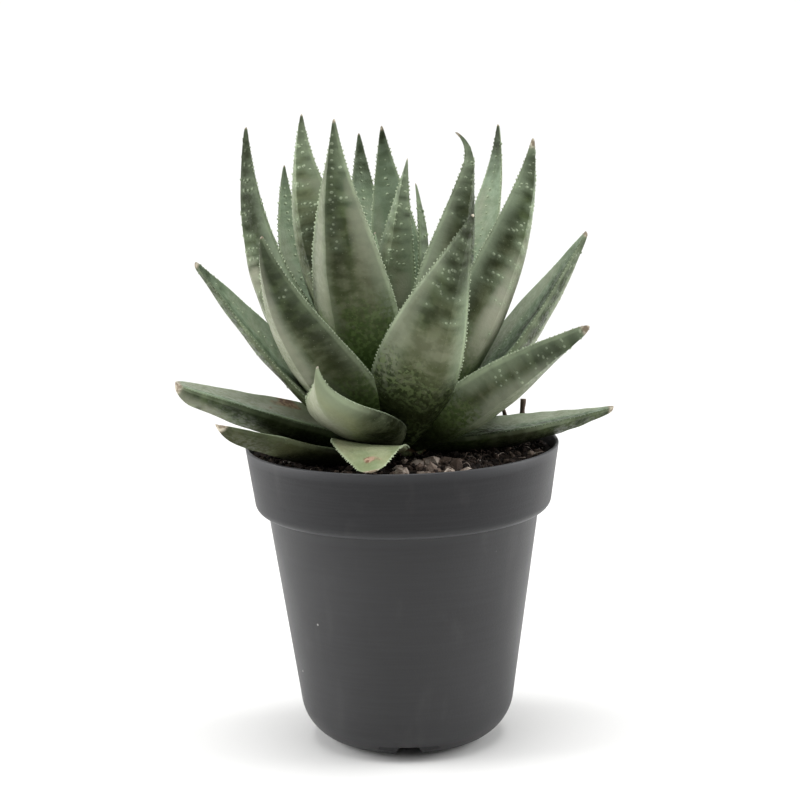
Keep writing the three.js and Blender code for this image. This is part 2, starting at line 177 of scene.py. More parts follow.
BACK_COLUMN = {"span": (0.62, 0.97), "pitch": 2.8, "stray": 0.4, "side": 0.04, "sizes": (0.7, 1.1)}
INNER_COLUMN = {"span": (0.45, 0.93), "pitch": 3.2, "stray": 0.6, "side": 0.14, "sizes": (0.6, 1.1)}
TUBERCLE = (0.76, 0.64, 0.34)
BUMP_SIDES = 6
BUMP_PALENESS = (0.65, 0.4)
SMALL_BUMPS_BELOW = 1.6
HALO = (2.2, 1.3)
SHADOW = (2.6, 1.3)
SHADOW_DROP = 2.1
SHADOW_DARKNESS = 0.6
SHADE_ON_BUMPS = 0.7
SHEEN_EDGE = (-0.26, 0.16)
SHEEN_FOOT = (0.05, 0.2)
SHEEN_TOP = (0.1, -0.15)
SCAR_RAGGED = (0.45, 5)
SCAR_EDGE = 0.6
LEAF_APART = 37
FACE_APART = 9

# The studio.
CAMERA_PLACE = (-0.43, -800, 275.7)
CAMERA_PITCH = 10.17
CAMERA_ROLL = -1.28
CAMERA_LENS = 95.76
SENSOR_WIDTH = 36
WORLD_STRENGTH = 0.22
LIGHT_AIM = (0, 0, 0.12)
LIGHTS = {
    "left_light": {"place": (-1.3, 0.0, 0.5), "size": (1.0, 1.2), "power": 23},
    "right_light": {"place": (1.3, 0.05, 0.5), "size": (1.0, 1.2), "power": 20},
    "top_light": {"place": (0.0, -0.1, 1.5), "size": (1.2, 1.2), "power": 21},
}

# The leaves, innermost first, in the columns that LEAF_COLUMNS names. azimuth, root and rise are the
# root's azimuth and height and the slope there, in degrees. tip is its azimuth, reach and height, and
# tip_rise the slope at which the leaf arrives there. What departs from LEAF_DEFAULTS stands last: reach
# is how far out the root is, out and head are the azimuths in which the leaf sets out and arrives if not
# its own, and bow how far those two directions carry. keel is where the back's ridge runs, from -1 (left
# margin) to 1, and ridged how sharp it is at the root and the tip, from 0 (round) to 1. twist turns the
# leaf about its spine, from root to tip. A larger point tapers faster, blunt rounds the tip off, and hook
# bends it aside.
LEAF_DEFAULTS = dict(
    reach=7, bow=(0.4, 0.35), twist=(0, 0), keel=0, point=1.15, blunt=0.02, hook=(0, 0, 0),
    ridged=(0.35, 0.8))
LEAF_COLUMNS = ("azimuth", "root", "rise", "tip", "tip_rise", "width", "thick")
LEAVES = [
    (165, 138, 86, (-175, 8, 184), 86, 11, 4, dict(reach=4)),
    (-120, 137, 84, (-130, 11, 196), 84, 14, 5, dict(reach=4)),
    (80, 136, 88, (90, 7, 214.7), 96, 13, 5, dict(reach=6)),
    (-30, 136, 88, (18, 14, 225), 80, 19, 6, dict(reach=5, head=60, point=1.3)),
    (-66, 134, 67, (-80, 35, 241.7), 92, 29, 8, dict(reach=5, twist=(30, 40), keel=-0.35, point=1.25)),
    (34, 132, 60, (65, 33, 238), 78, 27, 8, dict(reach=5, point=1.7, hook=(-8, 0, -4))),
    (170, 132, 72, (-170, 30, 234.9), 84, 23, 7, dict(head=-150)),
    (122, 129, 72, (131, 53, 234.3), 88, 28, 8, {}),
    (-112, 129, 48, (-109, 45, 221.6), 92, 21, 6, dict(twist=(-30, -34))),
    (-42, 127, 74, (-31, 42, 241), 90, 34, 10, dict(reach=11, twist=(16, 12), keel=-0.3, point=1.3)),
    (-158, 126, 58, (-165, 56, 231), 84, 24, 7, dict(head=-150)),
    (38, 125, 46, (77, 52, 231.2), 84, 26, 9, dict(head=90, bow=(0.38, 0.3), twist=(-6, -6), keel=0.2)),
    (-104, 124, 42, (-95, 56, 236.8), 90, 31, 8, dict(bow=(0.42, 0.42), twist=(54, 48), keel=-0.3)),
    (180, 123, 42, (180, 66, 196), 60, 26, 8, {}),
    (-10, 121, 44, (26, 61, 207.7), 64, 31, 9, dict(reach=9, out=12, head=50, twist=(4, 4), keel=0.45,
     bow=(0.42, 0.4))),
    (78, 121, 45, (80, 71, 196.5), 54, 34, 12, dict(twist=(14, 22))),
    (140, 120, 36, (140, 58, 184), 56, 26, 8, {}),
    (-142, 120, 36, (-142, 64, 186), 58, 26, 8, {}),
    (-48, 119, 50, (-44, 69, 201.1), 76, 33, 10, dict(reach=9, twist=(16, 8), keel=-0.26,
     bow=(0.4, 0.3))),
    (-78, 117, 38, (-72, 78, 189.5), 48, 27, 8, dict(twist=(-20, -24), keel=0.1, blunt=0.05)),
    (50, 119.3, 29, (60, 79, 165), 28, 25, 10, dict(twist=(-32, -26), blunt=0.07)),
    (-46, 118.8, 42, (-34, 53, 153.2), 84, 36, 9, dict(reach=10, out=-30, twist=(9, 0), bow=(0.5, 0.32),
     point=1.7, ridged=(0, 0.4))),
    (122, 118, 18, (118, 60, 147), 32, 24, 8, {}),
    (-132, 117, 16, (-138, 62, 151), 32, 24, 8, {}),
    (156, 116, 10, (158, 74, 134), 24, 24, 8, {}),
    (-74, 120, 18, (-73, 87, 145.2), 17, 26, 12, dict(twist=(-12, -4), blunt=0.2)),
    (90, 119, 6, (94, 82, 126.9), 8, 24, 10, dict(twist=(2, 4), blunt=0.05)),
    (-166, 116, 6, (-168, 73, 126), 10, 24, 7, {}),
    (-112, 116, 4, (-112, 66, 124), 10, 22, 7, {}),
    (-36, 116, 17, (-11, 60, 117), -30, 28, 5, dict(reach=10, blunt=0.1, point=0.85)),
    (-58, 112, 10, (-55, 81, 133), 15, 27, 8, dict(twist=(2, 4), blunt=0.28)),
]

# How single leaves look, by their number. rows, column and inside say how many tubercles stand in rows
# across the back, in a column up it and in one up the inner face. clusters is how many a row may have,
# rows_from where the rows begin, rows_at their middle and spread across the leaf, and column_at the side
# of the column. toothed is how large the teeth are. halo is how pale the skin is round tubercles, and
# edged how pale it is beside the margins, which is partly painted light. tone runs from dark to pale: the
# leaf's own green, and painted shade on leaves that lie in the shadow of others. low_to is where the green
# of the leaf's foot ends, and crumbs how mottled that is. The two sheen strips are on the back and on the
# inner face, with painted sheen where facets that turn to the side catch the light: the two sides between
# which they lie, how much, and how far up the leaf they run. yellow is how yellowed the leaf is, and dry
# the length of its dried tip. scars are place, side, face and size. shades are soft patches of painted
# shade and painted light, with some of the leaf's own dark and pale marks: place, side, face, length,
# width, and how dark (or, below 0, how pale). A face is 0 (inner) or 1 (back).
LOOK_DEFAULTS = dict(
    toothed=1, rows=0.7, clusters=2, rows_from=0.4, rows_at=(-0.15, 0.6), column=0.2, column_at=0, inside=0.5,
    halo=0.8, edged=0.2, tone=0.45, low_to=0.36, crumbs=0.4, sheen_strip=(-0.3, 0.3, 0.3, 0.8),
    inner_sheen_strip=(-1, 1, 0.2, 0.9), yellow=0, dry=0.9, scars=[], shades=[])
LOOKS = {
    3: dict(rows=1, edged=0.6, tone=0.3),
    4: dict(rows=1, clusters=3, halo=1.1, edged=0.9, tone=0.6, low_to=0.3,
        shades=[(0.95, 0, 1, 9, 5, 0.5), (0.42, 0.5, 1, 8, 4, -0.8), (0.53, 0.3, 1, 9, 6, -0.5),
        (0.62, -0.5, 1, 12, 3, -0.3)]),
    5: dict(rows=1, clusters=3, column=0, halo=1, edged=0.6, tone=0.7, sheen_strip=(-1, -0.5, 0.3, 0.9),
        shades=[(0.35, 0.2, 1, 30, 9, 1), (0.53, -0.3, 1, 14, 6.5, 1), (0.64, 0.3, 1, 8, 5, 0.6),
        (0.98, 0, 1, 7, 4, 0.7), (0.76, 0.4, 1, 8, 6, -0.4)]),
    6: dict(rows=1, clusters=3, rows_from=0.35, halo=1.1, edged=0.9, tone=0.6,
        sheen_strip=(-1, -0.6, 0.3, 0.9), dry=2.5, shades=[(0.75, 0.5, 1, 20, 3.5, 0.8),
        (0.5, 0.4, 1, 20, 4.5, 0.6), (0.97, 0, 1, 8, 5, 0.7), (0.69, -0.25, 1, 15, 4.5, 1),
        (0.6, 0.1, 1, 16, 5, 0.8)]),
    7: dict(inside=0.8, tone=0.3, dry=2, shades=[(0.97, 0, 0, 10, 6, 0.9), (0.6, 0, 0, 30, 4.5, 0.3),
        (0.6, 0.6, 0, 16, 3, -0.4)]),
    8: dict(rows=0.6, inside=1, tone=0.4, shades=[(0.95, 0.3, 0, 14, 8, 1), (0.45, 0.5, 0, 20, 6, 0.45),
        (0.62, 0, 0, 14, 6, -0.4), (0.73, 0.4, 0, 9, 4, -0.5)]),
    9: dict(inside=1, tone=0.6, shades=[(0.97, 0, 0, 6, 6, 0.7), (0.65, 0.5, 0, 18, 6, -0.4)]),
    10: dict(rows=0.25, rows_from=0.6, rows_at=(0.05, 0.2), column=1, column_at=0.02, edged=0.5,
        tone=0.48, low_to=0.4, sheen_strip=(-0.85, -0.36, 0.8, 0.95), dry=1.5,
        shades=[(0.93, 0.02, 1, 14, 2.6, 1), (0.76, 0.05, 1, 15, 3, 1), (0.6, 0, 1, 15, 3.5, 0.75),
        (0.72, 0.8, 1, 26, 5, -0.4), (0.6, 0.6, 1, 10, 4, -0.15), (0.38, -0.45, 1, 12, 4, -0.45),
        (0.4, -0.9, 1, 14, 2.4, 0.7)]),
    11: dict(inside=1, tone=0.35, shades=[(0.92, 0, 0, 18, 8, 0.85), (0.75, -0.05, 0, 7, 5, -0.5)]),
    12: dict(rows=1, clusters=3, halo=1, edged=0.8, tone=0.4, sheen_strip=(-0.1, 1, 1, 0.62), dry=4,
        shades=[(0.9, 0.1, 1, 10, 4, 0.9), (0.68, -0.3, 1, 9, 4, 0.85), (0.56, -0.55, 1, 16, 3.6, 0.85),
        (0.45, -0.6, 1, 12, 4, 0.6), (0.4, 0.15, 1, 14, 6, -1), (0.6, 0.5, 1, 20, 5, -0.6)]),
    13: dict(rows=1, halo=0.9, edged=0.8, tone=0.25, sheen_strip=(-1, 0.1, 0.9, 0.5),
        shades=[(0.95, 0, 1, 16, 6, 1), (0.78, 0.3, 1, 14, 5, 0.9), (0.6, 0.5, 1, 16, 3.5, 0.6),
        (0.58, -0.15, 1, 11, 4, -0.8), (0.5, 0.9, 0, 24, 4, -0.5)]),
    15: dict(rows=1, clusters=3, rows_from=0.6, rows_at=(-0.2, 0.6), column=0, halo=0.9, edged=0.6,
        tone=0.52, low_to=0.39, crumbs=1, sheen_strip=(-0.95, -0.55, 0.6, 0.85),
        shades=[(0.97, 0.1, 1, 15, 9, 1), (0.84, 0.3, 1, 9, 5, 0.95), (0.73, 0, 1, 6, 6, 0.8),
        (0.64, -0.15, 1, 6, 7, 0.5), (0.5, 0.3, 1, 6, 12, -0.15), (0.18, 0, 1, 14, 26, 1),
        (0.3, 0.8, 1, 7, 5, 0.7)]),
    16: dict(rows=1, rows_at=(-0.65, 0.2), halo=0.5, tone=0.3, sheen_strip=(-0.3, 0.5, 0.9, 0.9),
        inner_sheen_strip=(0.2, 1, 0.8, 0.9), dry=2, shades=[(0.5, -0.7, 1, 60, 2.5, 0.7),
        (0.66, -0.7, 0, 26, 5, 0.8), (0.35, 0.3, 0, 14, 8, 0.6)]),
    19: dict(rows=0.15, rows_from=0.45, column=0, halo=0.4, edged=0.3, tone=0.42,
        sheen_strip=(-1, 0.02, 0.95, 1), shades=[(0.85, 0.4, 1, 20, 5, 0.6), (0.5, 0.75, 1, 24, 5, 0.8),
        (0.6, 0.4, 1, 18, 4, 0.4), (0.3, 0.2, 1, 12, 6, -0.3)]),
    20: dict(rows=0.8, rows_at=(0.6, 0.25), edged=0.1, tone=0.4, sheen_strip=(-0.3, 0.4, 0.15, 0.8),
        inner_sheen_strip=(-1, -0.4, 0.4, 0.9), dry=2, shades=[(0.5, 0.8, 1, 70, 4, 0.5),
        (0.6, 0, 0, 40, 5, -0.4), (0.6, 0.75, 0, 50, 2, 0.5), (0.95, 0, 0, 9, 9, 0.7),
        (0.93, 0.8, 1, 12, 5, 0.6), (0.4, 1, 0, 9, 6, -0.5)]),
    21: dict(rows=0.8, rows_at=(-0.65, 0.25), halo=0.5, edged=0.5, tone=0.42,
        sheen_strip=(-0.3, 1, 0.7, 0.85), dry=3, shades=[(0.75, -0.5, 1, 22, 3.5, 0.6),
        (0.1, 0, 1, 10, 14, 0.9)]),
    22: dict(rows=0, column=0, inside=0, edged=0.5, tone=1, low_to=0.05, crumbs=0.1,
        sheen_strip=(-1, 0, 0.9, 1), shades=[(0.08, 0, 1, 9, 20, 1), (0.28, 0.8, 1, 9, 8, 1),
        (0.43, 0.95, 1, 9, 4, 0.85), (0.35, 0.6, 1, 10, 12, 1), (0.48, -0.15, 1, 10, 8, -0.6),
        (0.4, -0.3, 1, 9, 9, -0.8)]),
    26: dict(toothed=0.4, rows=0.1, column=0, inside=0, edged=0, tone=0.25, sheen_strip=(-0.4, 0.3, 0.2, 0.9),
        inner_sheen_strip=(-1, 0.3, 0.9, 1.1), dry=2.5, scars=[(0.42, -0.8, 0, 5)],
        shades=[(0.5, 0.75, 1, 60, 5, 1), (0.8, 0.2, 1, 26, 7, -0.8), (0.3, 0, 1, 34, 12, 1),
        (0.36, 0, 0, 15, 9, -0.7)]),
    27: dict(toothed=0.5, rows=0.1, column=0, inside=0, edged=0, sheen_strip=(-0.2, 0.3, 0.2, 0.8),
        inner_sheen_strip=(0, 1, 0.8, 1), dry=2.5, shades=[(0.4, 0, 1, 50, 12, 0.6),
        (0.3, -0.5, 0, 12, 14, 1), (0.6, -0.75, 0, 30, 3, 0.8)]),
    30: dict(rows=0, column=0, inside=0, tone=0.6, yellow=0.5, scars=[(0.84, -0.1, 0, 2.4)],
        shades=[(0.5, -0.8, 0, 14, 6, -0.6)]),
    31: dict(toothed=0.4, rows=0, column=0, edged=0, tone=0.2, yellow=0.1, dry=2,
        shades=[(0.5, 0.6, 1, 70, 9, 1), (0.3, 0, 1, 50, 14, 1), (0.6, 0.9, 0, 12, 6, 1)]),
}


def polar(azimuth, reach, height):
    """The point at an azimuth and a reach from the axis."""
    angle = math.radians(azimuth)
    return np.array([reach * math.sin(angle), -reach * math.cos(angle), height])


def heading(azimuth, elevation):
    """The unit direction with that azimuth and elevation."""
    angle = math.radians(elevation)
    return polar(azimuth, math.cos(angle), math.sin(angle))


def lerp(start, end, part):
    return start + (end - start) * part


def smooth(value, start, end):
    """0 at start, 1 at end, with level ends: 3x squared minus 2x cubed."""
    x = np.clip((value - start) / (end - start), 0, 1)
    return x * x * (3 - 2 * x)


def unit(vectors):
    return vectors / np.linalg.norm(vectors, axis=-1, keepdims=True)


def ripple(points, wavelength, seed, waves=9):
    """Smooth irregular relief between about -1 and 1: the mean of sines of random direction and phase,
    each about one wavelength long."""
    draw = np.random.default_rng(seed)
    directions = unit(draw.normal(size=(waves, points.shape[-1])))
    lengths = wavelength * draw.uniform(0.7, 1.5, waves)
    phases = draw.uniform(0, 2 * math.pi, waves)
    return 2.2 * np.sin(points @ (directions / lengths[:, None]).T * 2 * math.pi + phases).mean(-1)


def grid_quads(rows, columns, closed):
    """The faces of a grid of points, row by row. A closed grid joins its last column to its first."""
    row = np.arange(rows - 1)[:, None] * columns
    column = np.arange(columns if closed else columns - 1)[None, :]
    right = (column + 1) % columns
    corners = [row + column, row + columns + column, row + columns + right, row + right]
    return np.stack(corners, -1).reshape(-1, 4)


def fan(hub, ring):
    """Triangles from one point to each step along a ring."""
    return np.stack([np.full(len(ring), hub), ring, np.roll(ring, -1)], -1)


def capped_faces(rows, columns):
    """The faces of a closed grid whose end rows close on two points that follow the grid's own."""
    count, first = rows * columns, np.arange(columns)
    return [
        grid_quads(rows, columns, True), fan(count, first), fan(count + 1, first + count - columns)[:, ::-1],
    ]


def turned(profile, sides):
    """A profile of radius and height, which starts and ends on the axis, turned about Z. Returns the
    points, the faces, and for each point the profile row that it comes from."""
    inner = np.asarray(profile[1:-1], float)
    angle = np.arange(sides) * 2 * math.pi / sides
    ring = np.stack([np.sin(angle), -np.cos(angle)], -1)
    points = np.concatenate([
        inner[:, None, :1] * ring[None],
        np.broadcast_to(inner[:, None, 1:], (len(inner), sides, 1)),
    ], -1).reshape(-1, 3)
    ends = np.array([[0, 0, profile[0][1]], [0, 0, profile[-1][1]]], float)
    faces = [block[:, ::-1] for block in capped_faces(len(inner), sides)]
    rows = np.concatenate([np.repeat(np.arange(1, len(inner) + 1), sides), [0, len(inner) + 1]])
    return np.concatenate([points, ends]), faces, rows


def arc(centre, size, start, end, steps):
    """Points on an arc about (radius, height), between two angles measured from the outward direction."""
    angle = np.linspace(start, end, steps + 1)
    return [[centre[0] + size * math.cos(a), centre[1] + size * math.sin(a)] for a in angle]


def dense(profile, step):
    """A profile with points added along its straight runs, no further apart than step."""
    out = [profile[0]]
    for start, end in zip(profile[:-1], profile[1:]):
        pieces = max(1, math.ceil(math.dist(start, end) / step))
        for i in range(1, pieces + 1):
            out.append([lerp(start[k], end[k], i / pieces) for k in range(2)])
    return out


def scattered(template, faces, centres, axes, sizes):
    """Copies of one small closed shape. Each has its own centre, its own three axes and its own sizes."""
    local = template[None] * sizes[:, None, :]
    points = centres[:, None, :] + np.einsum("nvk,nkx->nvx", local, axes)
    offset = (np.arange(len(centres)) * len(template))[:, None, None]
    return points.reshape(-1, 3), (faces[None] + offset).reshape(-1, faces.shape[1])


def new_object(name, points, faces, material, attributes=None, sharp_above=None):
    """A smooth-shaded mesh object in metres that carries the given point attributes. Edges that turn by
    more than sharp_above degrees stay sharp."""
    mesh = bpy.data.meshes.new(name)
    mesh.from_pydata((points * MM).tolist(), [], [face for block in faces for face in block.tolist()])
    for key, values in (attributes or {}).items():
        kind, field = ("FLOAT_VECTOR", "vector") if values.ndim == 2 else ("FLOAT", "value")
        layer = mesh.attributes.new(key, kind, "POINT")
        layer.data.foreach_set(field, values.astype(np.float32).ravel())
    mesh.polygons.foreach_set("use_smooth", np.ones(len(mesh.polygons), bool))
    if sharp_above:
        mesh.set_sharp_from_angle(angle=math.radians(sharp_above))
    mesh.materials.append(material)
    mesh.update()
    made = bpy.data.objects.new(name, mesh)
    bpy.context.scene.collection.objects.link(made)
    return made


def make_piece(name, points, faces, material, slot, attributes=None, replaces=None, sharp_above=None):
    """An object that rides on the frame and may stand for a node, which it hides. The slot is not used."""
    piece = new_object(name, points, faces, material, attributes, sharp_above)
    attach(piece, "root")
    if replaces:
        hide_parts(replaces)


def tree_of(values):
    """The node tree of the sockets among some values."""
    return next(value.id_data for value in values if isinstance(value, bpy.types.NodeSocket))


def add_node(tree, kind, inputs=None, **settings):
    """Adds a shader node. inputs gives each socket a value, or another node's socket to be linked to."""
    made = tree.nodes.new(kind)
    for key, value in settings.items():
        setattr(made, key, value)
    for key, value in (inputs or {}).items():
        if isinstance(value, bpy.types.NodeSocket):
            tree.links.new(value, made.inputs[key])
        else:
            made.inputs[key].default_value = value
    return made


def faded(value, start, end):
    """0 at start and 1 at end, with level ends."""
    inputs = {"Value": value, "From Min": start, "From Max": end}
    made = add_node(value.id_data, "ShaderNodeMapRange", inputs, interpolation_type="SMOOTHSTEP")
    return made.outputs["Result"]


def maths(operation, *values, clamp=False):
    inputs = dict(enumerate(values))
    made = add_node(tree_of(values), "ShaderNodeMath", inputs, operation=operation, use_clamp=clamp)
    return made.outputs[0]


def times(a, b, clamp=False):
    return maths("MULTIPLY", a, b, clamp=clamp)


def scaled(value, factor, offset, clamp=False):
    """value times factor plus offset."""
    return maths("MULTIPLY_ADD", value, factor, offset, clamp=clamp)


def shader_colour(paint):
    """The socket colour for the three 0-255 values that a paint program shows. A socket stays itself."""
    if isinstance(paint, bpy.types.NodeSocket):
        return paint
    shares = [channel / 255 for channel in paint]
    return (*[s / 12.92 if s <= 0.04045 else ((s + 0.055) / 1.055) ** 2.4 for s in shares], 1)


def mixed(mask, a, b):
    """Colour a where mask is 0, colour b where it is 1."""
    inputs = {0: mask, 6: shader_colour(a), 7: shader_colour(b)}
    return add_node(tree_of([mask, a, b]), "ShaderNodeMix", inputs, data_type="RGBA").outputs[2]


def layered(base, layers):
    """A base colour under layers of paint. A layer is a mask and the colour that shows where it is 1."""
    for mask, paint in layers.values():
        base = mixed(mask, base, paint)
    return base


def stretched(vector, by):
    made = add_node(vector.id_data, "ShaderNodeVectorMath", {0: vector, 1: by}, operation="MULTIPLY")
    return made.outputs[0]


def value_of(shader, name):
    """The point attribute of that name."""
    return add_node(shader.id_data, "ShaderNodeAttribute", attribute_name=name).outputs["Fac"]


def noise(place, scale, detail):
    inputs = {"Vector": place, "Scale": scale, "Detail": detail}
    return add_node(place.id_data, "ShaderNodeTexNoise", inputs).outputs["Fac"]


def new_group(name, inputs, output):
    """An empty node group with a place and some floats as its inputs and one float as its output. Returns
    the tree, the inputs' sockets and the output's."""
    tree = bpy.data.node_groups.new(name, "ShaderNodeTree")
    tree.interface.new_socket("Vector", in_out="INPUT", socket_type="NodeSocketVector")
    for key, value in inputs.items():
        tree.interface.new_socket(key, in_out="INPUT", socket_type="NodeSocketFloat").default_value = value
    tree.interface.new_socket(output, in_out="OUTPUT", socket_type="NodeSocketFloat")
    return tree, tree.nodes.new("NodeGroupInput").outputs, tree.nodes.new("NodeGroupOutput").inputs[output]


def blotches_group():
    """Cloudy patches: noise, sharpened between Low and High."""
    tree, source, mask = new_group("blotches", {"Scale": 1.0, "Low": 0.4, "High": 0.6}, "Mask")
    tree.links.new(faded(noise(source["Vector"], source["Scale"], 4.0), source["Low"], source["High"]), mask)
    return tree


def specks_group():
    """Small round dots: the middles of the cells of a Voronoi pattern, in the given share of them."""
    tree, source, mask = new_group("specks", {"Scale": 1.0, "Size": 0.2, "Share": 0.5}, "Mask")
    cells = add_node(tree, "ShaderNodeTexVoronoi", {"Vector": source["Vector"], "Scale": source["Scale"]})
    dot = faded(cells.outputs["Distance"], source["Size"], times(source["Size"], 0.5))
    draw = add_node(tree, "ShaderNodeSeparateColor", {"Color": cells.outputs["Color"]}).outputs[0]
    tree.links.new(times(dot, maths("LESS_THAN", draw, source["Share"])), mask)
    return tree


def grain_group():
    """Fine uneven relief: coarse noise plus a share of noise five times finer."""
    tree, source, height = new_group("grain", {"Scale": 1.0, "Fine": 0.4}, "Height")
    coarse = noise(source["Vector"], source["Scale"], 2.0)
    fine = noise(source["Vector"], times(source["Scale"], 5.0), 2.0)
    tree.links.new(maths("ADD", coarse, times(fine, source["Fine"])), height)
    return tree


BLOTCHES = blotches_group()
SPECKS = specks_group()
GRAIN = grain_group()


def effect(group, place, **inputs):
    """Places a node group with its own values, and returns its output."""
    return add_node(place.id_data, "ShaderNodeGroup", {"Vector": place} | inputs, node_tree=group).outputs[0]


def new_material(name, **constants):
    """A material, its shader with the constant sockets set, and the place on the object."""
    material = bpy.data.materials.new(name)
    material.use_nodes = True
    shader = material.node_tree.nodes["Principled BSDF"]
    for key, value in constants.items():
        shader.inputs[key.replace("_", " ")].default_value = value
    return material, shader, add_node(material.node_tree, "ShaderNodeTexCoord").outputs["Object"]


def finish_material(shader, base, roughness, height, relief):
    """Feeds the shader its colour, its roughness and a bump of the given depth in millimetres. The
    roughness is a mask, how much it adds and the least value, and is faded between 0 and 1."""
    tree = shader.id_data
    bump = add_node(tree, "ShaderNodeBump", {"Height": height, "Strength": 1.0, "Distance": relief * MM})
    tree.links.new(base, shader.inputs["Base Color"])
    tree.links.new(faded(scaled(*roughness), 0.0, 1.0), shader.inputs["Roughness"])
    tree.links.new(bump.outputs["Normal"], shader.inputs["Normal"])


def leaf_material():
    """Waxy succulent skin. leaf_place is the place on the leaf in millimetres: across, along, and a step for
    each leaf and face. The other attributes say how far the margin, the tip and the root are, and what lies
    at a point."""
    material, shader, place = new_material("leaf_skin", Specular_IOR_Level=0.14)
    on_leaf = add_node(shader.id_data, "ShaderNodeAttribute", attribute_name="leaf_place").outputs["Vector"]
    on_plant = stretched(place, (1 / MM, 1 / MM, 1 / MM))
    at = {name: value_of(shader, name) for name in (*SKIN_ATTRIBUTES, *LOOK_ATTRIBUTES)}
    patches = effect(BLOTCHES, stretched(on_leaf, (1, 0.6, 1)), Scale=0.12, Low=0.4, High=0.62)
    clouds = effect(BLOTCHES, stretched(on_leaf, (0.7, 1, 1)), Scale=0.24, Low=0.38, High=0.64)
    streaks = effect(BLOTCHES, stretched(on_leaf, (1, 0.1, 1)), Scale=0.7, Low=0.4, High=0.7)
    mottle = effect(BLOTCHES, on_plant, Scale=0.62, Low=0.45, High=0.58)
    crumbs = effect(BLOTCHES, on_plant, Scale=0.55, Low=0.46, High=0.58)
    freckles = effect(SPECKS, on_plant, Scale=0.8, Size=0.2, Share=0.4)

    middle = mixed(clouds, (76, 82, 54), (106, 111, 85))
    high = mixed(clouds, (46, 58, 29), (86, 99, 65))
    upper = faded(scaled(patches, 0.14, at["root_part"]), 0.55, 0.8)
    ragged = scaled(mottle, 0.09, scaled(patches, 0.06, at["root_part"]))
    lowest = faded(maths("SUBTRACT", ragged, at["low_to"]), 0.12, -0.1)
    low = mixed(at["crumbs"], (84, 104, 54), mixed(crumbs, (40, 52, 22), (108, 124, 80)))
    # Paler beside the margins by the leaf's edged value, which is partly painted light.
    beside_margin = times(faded(at["margin_mm"], 7.0, 0.5), faded(at["root_part"], 0.1, 0.4))
    # Painted sheen where facets that turn to the side catch the light, with the paleness beside the margins,
    # and the sheen's pale colour.
    sheen_and_pale_margins = maths("MAXIMUM", times(beside_margin, at["edged"]), times(at["painted_sheen"], 0.75))
    painted_sheen = mixed(patches, (150, 153, 134), (170, 171, 154))
    margin_line = times(faded(at["margin_mm"], 1.1, 0.3), scaled(patches, 0.3, 0.2))
    flesh = layered(mixed(upper, middle, high), {
        "streaks": (times(streaks, 0.12), (46, 58, 30)),
        # Whole leaves darker or paler by their tone: the leaf's own green, and painted shade on leaves that
        # lie in the shadow of others.
        "pale leaf": (times(scaled(at["tone"], 2.0, -1.0, clamp=True), 0.7), (158, 164, 130)),
        "dark leaf": (times(scaled(at["tone"], -2.0, 1.0, clamp=True), 0.75), (26, 36, 12)),
        "inner face": (scaled(at["outer"], -0.95, 0.95), mixed(clouds, (110, 128, 102), (132, 150, 126))),
        # Painted sheen: pale where facets that turn to the side catch the light, and beside the margins.
        "painted_sheen": (sheen_and_pale_margins, mixed(at["painted_sheen"], (142, 156, 131), painted_sheen)),
        "foot": (times(lowest, at["outer"]), low),
        # Painted shade and painted light from the shades, with some of the leaf's own dark and pale marks;
        # the margin line dims under the painted shade.
        "painted shade and dark marks": (times(at["shade"], scaled(clouds, -0.25, 1.05), clamp=True), (30, 35, 14)),
        "painted light and pale marks": (times(at["shade"], -1.0, clamp=True), (162, 163, 143)),
        "halos": (times(at["halo"], 0.65), (140, 155, 127)),
        "freckles": (times(freckles, 0.25), (146, 158, 126)),
        "yellowing": (at["yellow"], mixed(patches, (124, 130, 84), (158, 156, 116))),
        "scars": (at["scar"], mixed(mottle, (112, 82, 64), (164, 138, 118))),
        "margin": (times(margin_line, scaled(at["shade"], -1.0, 1.0, clamp=True)), (164, 178, 146)),
        "bumps": (at["bump"], (188, 200, 170)),
        "dry tip": (faded(at["tip_part"], 1.2, 0.5), mixed(mottle, (132, 120, 102), (190, 182, 164))),
    })
    height = maths("ADD", effect(GRAIN, on_plant, Scale=0.9, Fine=0.4), times(streaks, 0.15))
    finish_material(shader, flesh, (mottle, 0.25, 0.42), height, 0.14)
    return material


def pot_material():
    """Moulded dark grey plastic: a fine grain, faint turning marks, dust, and paler edges."""
    material, shader, place = new_material("pot_plastic", Specular_IOR_Level=0.24)
    clouds = effect(BLOTCHES, place, Scale=28.0, Low=0.3, High=0.7)
    rings = effect(BLOTCHES, stretched(place, (1, 1, 26)), Scale=40.0, Low=0.4, High=0.62)
    smears = effect(BLOTCHES, stretched(place, (1, 1, 0.35)), Scale=90.0, Low=0.56, High=0.75)
    base = layered(mixed(clouds, (50, 50, 51), (54, 54, 55)), {
        "collar": (value_of(shader, "collar"), (33, 33, 35)),
        "turning marks": (times(rings, 0.04), (80, 81, 85)),
        "smears": (times(smears, 0.1), (92, 91, 90)),
        "paler edges": (times(value_of(shader, "edge"), 0.2), (118, 119, 122)),
        "dust": (effect(SPECKS, place, Scale=150.0, Size=0.085, Share=0.05), (150, 149, 146)),
    })
    height = maths("ADD", effect(GRAIN, place, Scale=1100.0, Fine=0.5), times(rings, 0.07))
    finish_material(shader, base, (clouds, 0.054, 0.433), height, 0.04)
    return material


